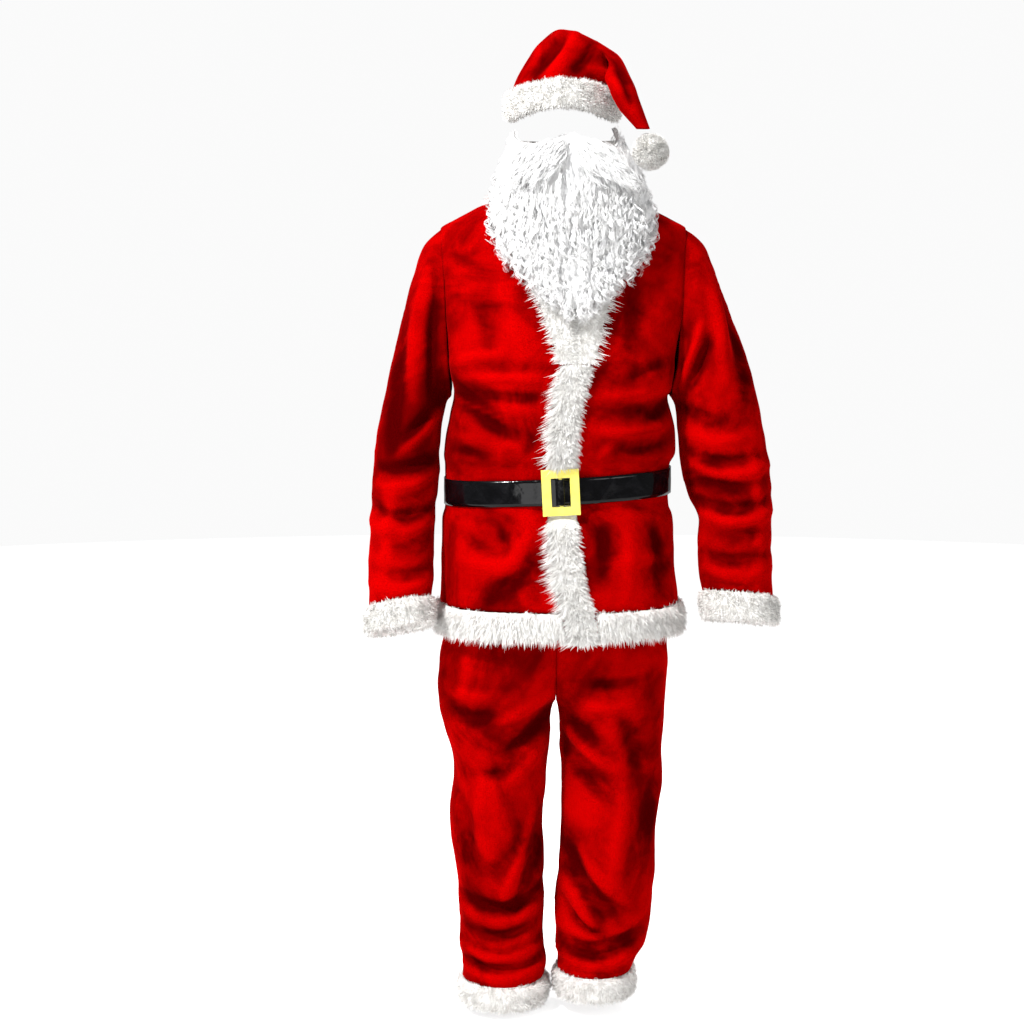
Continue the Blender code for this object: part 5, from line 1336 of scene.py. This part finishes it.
def pile_group():
    """Patches where the pile is brushed one way or the other, and the pile's own grain."""
    tree, given, made = new_group("brushed_pile", [
        ("Vector", "NodeSocketVector", None), ("Patch Scale", "NodeSocketFloat", 8.0),
        ("Grain Scale", "NodeSocketFloat", 900.0),
    ], [("Brushed", "NodeSocketFloat"), ("Grain", "NodeSocketFloat")])
    at = given.outputs["Vector"]
    broad = noise_node(tree, at, given.outputs["Patch Scale"], 4.0, 0.62, 1.1)
    finer_scale = math_node(tree, "MULTIPLY", given.outputs["Patch Scale"], 6.0)
    small = noise_node(tree, at, finer_scale, 3.0, 0.6, 0.4)
    both = math_node(tree, "MULTIPLY_ADD", small, 0.22, math_node(tree, "MULTIPLY", broad, 0.90))
    tree.links.new(range_node(tree, both, 0.34, 0.78), made.inputs["Brushed"])
    tree.links.new(noise_node(tree, at, given.outputs["Grain Scale"], 2.0, 0.7), made.inputs["Grain"])
    return tree


def tuft_group():
    """Tufts of long pile: their shade, and their height with the hair's own streaks."""
    tree, given, made = new_group("long_tufts", [
        ("Vector", "NodeSocketVector", None), ("Tuft Scale", "NodeSocketFloat", 90.0),
    ], [("Shade", "NodeSocketFloat"), ("Height", "NodeSocketFloat")])
    at, scale = given.outputs["Vector"], given.outputs["Tuft Scale"]
    tuft = noise_node(tree, at, scale, 3.0, 0.6, 0.6)
    streak = noise_node(tree, at, math_node(tree, "MULTIPLY", scale, 9.0), 2.0, 0.7)
    tree.links.new(range_node(tree, tuft, 0.30, 0.66), made.inputs["Shade"])
    height = math_node(tree, "MULTIPLY_ADD", streak, 0.45, math_node(tree, "MULTIPLY", tuft, 0.7))
    tree.links.new(height, made.inputs["Height"])
    return tree


def scuff_group():
    """Fine scratches, smears and dents of a handled hard surface."""
    tree, given, made = new_group("handled_surface", [
        ("Vector", "NodeSocketVector", None), ("Smear Scale", "NodeSocketFloat", 30.0),
    ], [("Smears", "NodeSocketFloat"), ("Dents", "NodeSocketFloat")])
    at, scale = given.outputs["Vector"], given.outputs["Smear Scale"]
    smears = noise_node(tree, at, scale, 5.0, 0.65, 0.8)
    dents = noise_node(tree, at, math_node(tree, "MULTIPLY", scale, 2.5), 2.0, 0.5)
    tree.links.new(range_node(tree, smears, 0.35, 0.75), made.inputs["Smears"])
    tree.links.new(dents, made.inputs["Dents"])
    return tree


def new_material(slot, **values):
    made = bpy.data.materials.new(slot)
    made.use_nodes = True
    tree = made.node_tree
    shader = tree.nodes["Principled BSDF"]
    for label, value in values.items():
        shader.inputs[label.replace("_", " ")].default_value = value
    MATERIALS[slot] = made
    return tree, shader, tree.nodes.new("ShaderNodeTexCoord").outputs["Object"]


def place_group(tree, group, vector, **values):
    node = tree.nodes.new("ShaderNodeGroup")
    node.node_tree = group
    tree.links.new(vector, node.inputs["Vector"])
    for label, value in values.items():
        node.inputs[label.replace("_", " ")].default_value = value
    return node


def bump(tree, shader, height, strength, distance):
    node = tree.nodes.new("ShaderNodeBump")
    node.inputs["Strength"].default_value = strength
    node.inputs["Distance"].default_value = distance
    tree.links.new(height, node.inputs["Height"])
    tree.links.new(node.outputs["Normal"], shader.inputs["Normal"])


def make_materials():
    pile, tufts, scuffs = pile_group(), tuft_group(), scuff_group()

    tree, shader, at = new_material("velour_red", Sheen_Weight=0.45, Sheen_Roughness=0.32,
                                    Sheen_Tint=(1.0, 0.01, 0.01, 1.0), Specular_IOR_Level=0.0)
    node = place_group(tree, pile, at, Patch_Scale=5.5, Grain_Scale=900.0)
    brushed, grain = node.outputs["Brushed"], node.outputs["Grain"]
    # The folds' rise is painted into the colour: darker in the troughs as painted shade, lighter on the
    # crests as a painted highlight. The brushed patches are the pile's own colour.
    rise = tree.nodes.new("ShaderNodeAttribute")
    rise.attribute_name = "tone"
    ridge = range_node(tree, rise.outputs["Fac"], -0.0060, 0.0055, -0.27, 0.40)
    lift = math_node(tree, "ADD", ridge, 0.13)
    # Brushed pile patches mixed with the folds' painted shade and painted highlight.
    pile_and_painted_fold_light = range_node(tree, math_node(tree, "MULTIPLY_ADD", brushed, 0.72, lift), 0, 1)
    base = mix_node(tree, pile_and_painted_fold_light, (0.045, 0.0, 0.0002, 1), (0.560, 0.0003, 0.0003, 1))
    fine = mix_node(tree, range_node(tree, grain, 0.35, 0.65), (0.10, 0.0, 0.0004, 1), base)
    colour = mix_node(tree, range_node(tree, grain, 0.3, 0.7, 0.25, 1.0), fine, base)
    tree.links.new(colour, shader.inputs["Base Color"])
    tree.links.new(range_node(tree, brushed, 0, 1, 0.88, 0.66), shader.inputs["Roughness"])
    bump(tree, shader, grain, 0.25, 0.0005)

    for slot, light, shade, scale, rough in (
        ("fur_white", (0.90, 0.892, 0.872, 1), (0.76, 0.745, 0.715, 1), 90.0, 0.92),
        ("curls_white", (0.92, 0.918, 0.912, 1), (0.78, 0.782, 0.786, 1), 60.0, 0.70),
    ):
        tree, shader, at = new_material(slot, Sheen_Weight=0.15, Sheen_Roughness=0.5, Specular_IOR_Level=0.25)
        node = place_group(tree, tufts, at, Tuft_Scale=scale)
        tone = tree.nodes.new("ShaderNodeAttribute")
        tone.attribute_name = "tone"
        share = math_node(tree, "MULTIPLY_ADD", tone.outputs["Fac"], 0.35,
                          math_node(tree, "MULTIPLY", node.outputs["Shade"], 0.75))
        colour = mix_node(tree, range_node(tree, share, 0.0, 0.85), shade, light)
        tree.links.new(colour, shader.inputs["Base Color"])
        tree.links.new(range_node(tree, node.outputs["Shade"], 0, 1, rough + 0.05, rough - 0.08),
                       shader.inputs["Roughness"])
        bump(tree, shader, node.outputs["Height"], 0.5, 0.0012)

    tree, shader, at = new_material("vinyl_black", Coat_Weight=0.10, Coat_Roughness=0.05,
                                    Specular_IOR_Level=0.22)
    node = place_group(tree, scuffs, at, Smear_Scale=26.0)
    black, smeared = (0.0012, 0.0012, 0.0016, 1), (0.0040, 0.0040, 0.0052, 1)
    tree.links.new(mix_node(tree, node.outputs["Smears"], black, smeared), shader.inputs["Base Color"])
    tree.links.new(range_node(tree, node.outputs["Smears"], 0, 1, 0.07, 0.20), shader.inputs["Roughness"])
    bump(tree, shader, node.outputs["Dents"], 0.30, 0.0015)

    tree, shader, at = new_material("plastic_yellow", Specular_IOR_Level=0.5)
    node = place_group(tree, scuffs, at, Smear_Scale=60.0)
    tree.links.new(mix_node(tree, node.outputs["Smears"], (0.955, 0.850, 0.155, 1), (0.930, 0.790, 0.110, 1)),
                   shader.inputs["Base Color"])
    tree.links.new(range_node(tree, node.outputs["Smears"], 0, 1, 0.28, 0.46), shader.inputs["Roughness"])
    bump(tree, shader, node.outputs["Dents"], 0.12, 0.0004)

    tree, shader, at = new_material("elastic_white", Specular_IOR_Level=0.2)
    wave = tree.nodes.new("ShaderNodeTexWave")
    wave.bands_direction = "Z"
    wave.inputs["Scale"].default_value = 420.0
    tree.links.new(at, wave.inputs["Vector"])
    # The rib grooves are painted darker and the rib tops lighter, a painted shade that follows the ribs'
    # bump.
    tree.links.new(mix_node(tree, wave.outputs["Fac"], (0.70, 0.69, 0.66, 1), (0.86, 0.85, 0.82, 1)),
                   shader.inputs["Base Color"])
    tree.links.new(range_node(tree, wave.outputs["Fac"], 0, 1, 0.90, 0.75), shader.inputs["Roughness"])
    bump(tree, shader, wave.outputs["Fac"], 0.4, 0.0004)


# ---------------------------------------------------------------- studio
FLOOR_DROP = 0.015       # how far the floor lies below the trouser hems, clear of their fur
LIGHTS = (               # name, place, what it points at, size, power
    ("key", (-2.0, -2.0, 2.7), (0, 0, -0.55), 0.5, 265),
    ("fill", (2.6, -3.0, 0.8), (0, 0, -0.6), 2.0, 34),
    ("rim_right", (1.8, 2.2, 1.4), (0, 0, -0.4), 1.2, 45),
    ("rim_left", (-2.2, 1.8, 1.0), (0, 0, -0.5), 1.2, 40),
    ("front_low", (-0.8, -3.4, -0.9), (0, 0, -0.9), 1.6, 18),
)
CAMERA_PLACE = (-0.09, -3.9, -0.10)   # in front of the suit, 0.10 m below the wearer's neck
CAMERA_TILT = math.radians(84.5)      # from straight down, so it looks 5.5 degrees down
CAMERA_SHIFT = -0.035
SENSOR, LENS = 36, 77.0


def studio():
    """A plain pale floor under the hanging suit, soft light from the upper left, and the camera."""
    low = cad_box[0][2] - FLOOR_DROP
    bpy.ops.mesh.primitive_circle_add(vertices=96, radius=7.0, fill_type="NGON", location=(0, 0, low))
    floor = bpy.context.active_object
    floor.name = "studio_floor"
    paint = bpy.data.materials.new("studio_floor")
    paint.use_nodes = True
    shader = paint.node_tree.nodes["Principled BSDF"]
    shader.inputs["Base Color"].default_value = (0.97, 0.97, 0.97, 1)
    shader.inputs["Roughness"].default_value = 0.9
    shader.inputs["Specular IOR Level"].default_value = 0.1
    tree = paint.node_tree
    bright, both, rays = (tree.nodes.new(kind) for kind in
                          ("ShaderNodeEmission", "ShaderNodeAddShader", "ShaderNodeLightPath"))
    glow = math_node(tree, "MULTIPLY", rays.outputs["Is Camera Ray"], 0.75)   # as pale as the backdrop
    tree.links.new(glow, bright.inputs["Strength"])
    tree.links.new(shader.outputs[0], both.inputs[0])
    tree.links.new(bright.outputs[0], both.inputs[1])
    tree.links.new(both.outputs[0], tree.nodes["Material Output"].inputs["Surface"])
    floor.data.materials.append(paint)

    for name, place, aim, size, power in LIGHTS:
        light = bpy.data.lights.new(name, "AREA")
        light.shape = "DISK"
        light.size, light.energy = size, power
        lamp = bpy.data.objects.new(name, light)
        lamp.location = place
        lamp.rotation_euler = (Vector(aim) - Vector(place)).to_track_quat("-Z", "Y").to_euler()
        bpy.context.scene.collection.objects.link(lamp)

    world = bpy.data.worlds.new("studio")
    bpy.context.scene.world = world
    world.use_nodes = True
    tree = world.node_tree
    back = tree.nodes["Background"]
    back.inputs["Strength"].default_value = 0.20
    seen = tree.nodes.new("ShaderNodeBackground")
    seen.inputs["Color"].default_value = back.inputs["Color"].default_value = (1, 1, 1, 1)
    seen.inputs["Strength"].default_value = 0.96
    mix, rays = tree.nodes.new("ShaderNodeMixShader"), tree.nodes.new("ShaderNodeLightPath")
    tree.links.new(rays.outputs["Is Camera Ray"], mix.inputs[0])
    tree.links.new(back.outputs[0], mix.inputs[1])
    tree.links.new(seen.outputs[0], mix.inputs[2])
    tree.links.new(mix.outputs[0], tree.nodes["World Output"].inputs["Surface"])

    view = bpy.data.cameras.new("camera")
    view.sensor_width, view.lens, view.shift_y = SENSOR, LENS, CAMERA_SHIFT
    camera = bpy.data.objects.new("camera", view)
    camera.location = CAMERA_PLACE
    camera.rotation_euler = (CAMERA_TILT, 0, 0)
    bpy.context.scene.collection.objects.link(camera)
    bpy.context.scene.camera = camera
    bpy.context.scene.view_settings.view_transform = "Standard"


# ---------------------------------------------------------------- the suit
def main():
    make_materials()
    for name, side in (("jacket_front_right", -1), ("jacket_front_left", 1)):
        jacket_front(name, side)
    jacket_back()
    for name, rows, side in (("right", RIGHT_SLEEVE, -1), ("left", LEFT_SLEEVE, 1)):
        points = sleeve(f"sleeve_{name}", Table(rows), side)
        along = unit(points[-1].mean(0) - points[-12].mean(0))
        fur_ring(f"cuff_trim_{name}", finer_ring(points[-1]), along, TRIM_WIDTH, FUR_PILE)
    right_leg, left_leg = Leg(RIGHT_LEG, -1), Leg(LEFT_LEG, 1)
    for name, leg in (("right", right_leg), ("left", left_leg)):
        trouser_panel(f"trouser_front_{name}", leg, "front")
        trouser_panel(f"trouser_back_{name}", leg, "back")
        share = np.linspace(0, 1, 73)
        low = np.array(leg.columns["z"][0])
        edge = np.concatenate([leg.points(share, low, "front"), leg.points(share[::-1][1:-1], low, "back")])
        fur_ring(f"ankle_trim_{name}", edge, DOWN, ANKLE_WIDTH, ANKLE_PILE)
    waistband(right_leg)
    front_band()
    neck_band()
    hem_trim()
    belt()
    hat()
    pompom()
    beard_base()
    beard_locks("beard_waves", 32, 820, 0.40, 1.0, 0.056, 0.0036, 2.2, parts=10)
    beard_locks("beard_curls", 33, 860, 0.0, 0.72, 0.062, 0.0072, 2.7, parts=17, rise=0.005)
    moustache()
    beard_strap()
    for name in ("buckle", "belt_end"):
        node = frame["nodes"][name]
        node.data.materials.clear()
        node.data.materials.append(MATERIALS[SLOTS[name]])

    studio()


main()
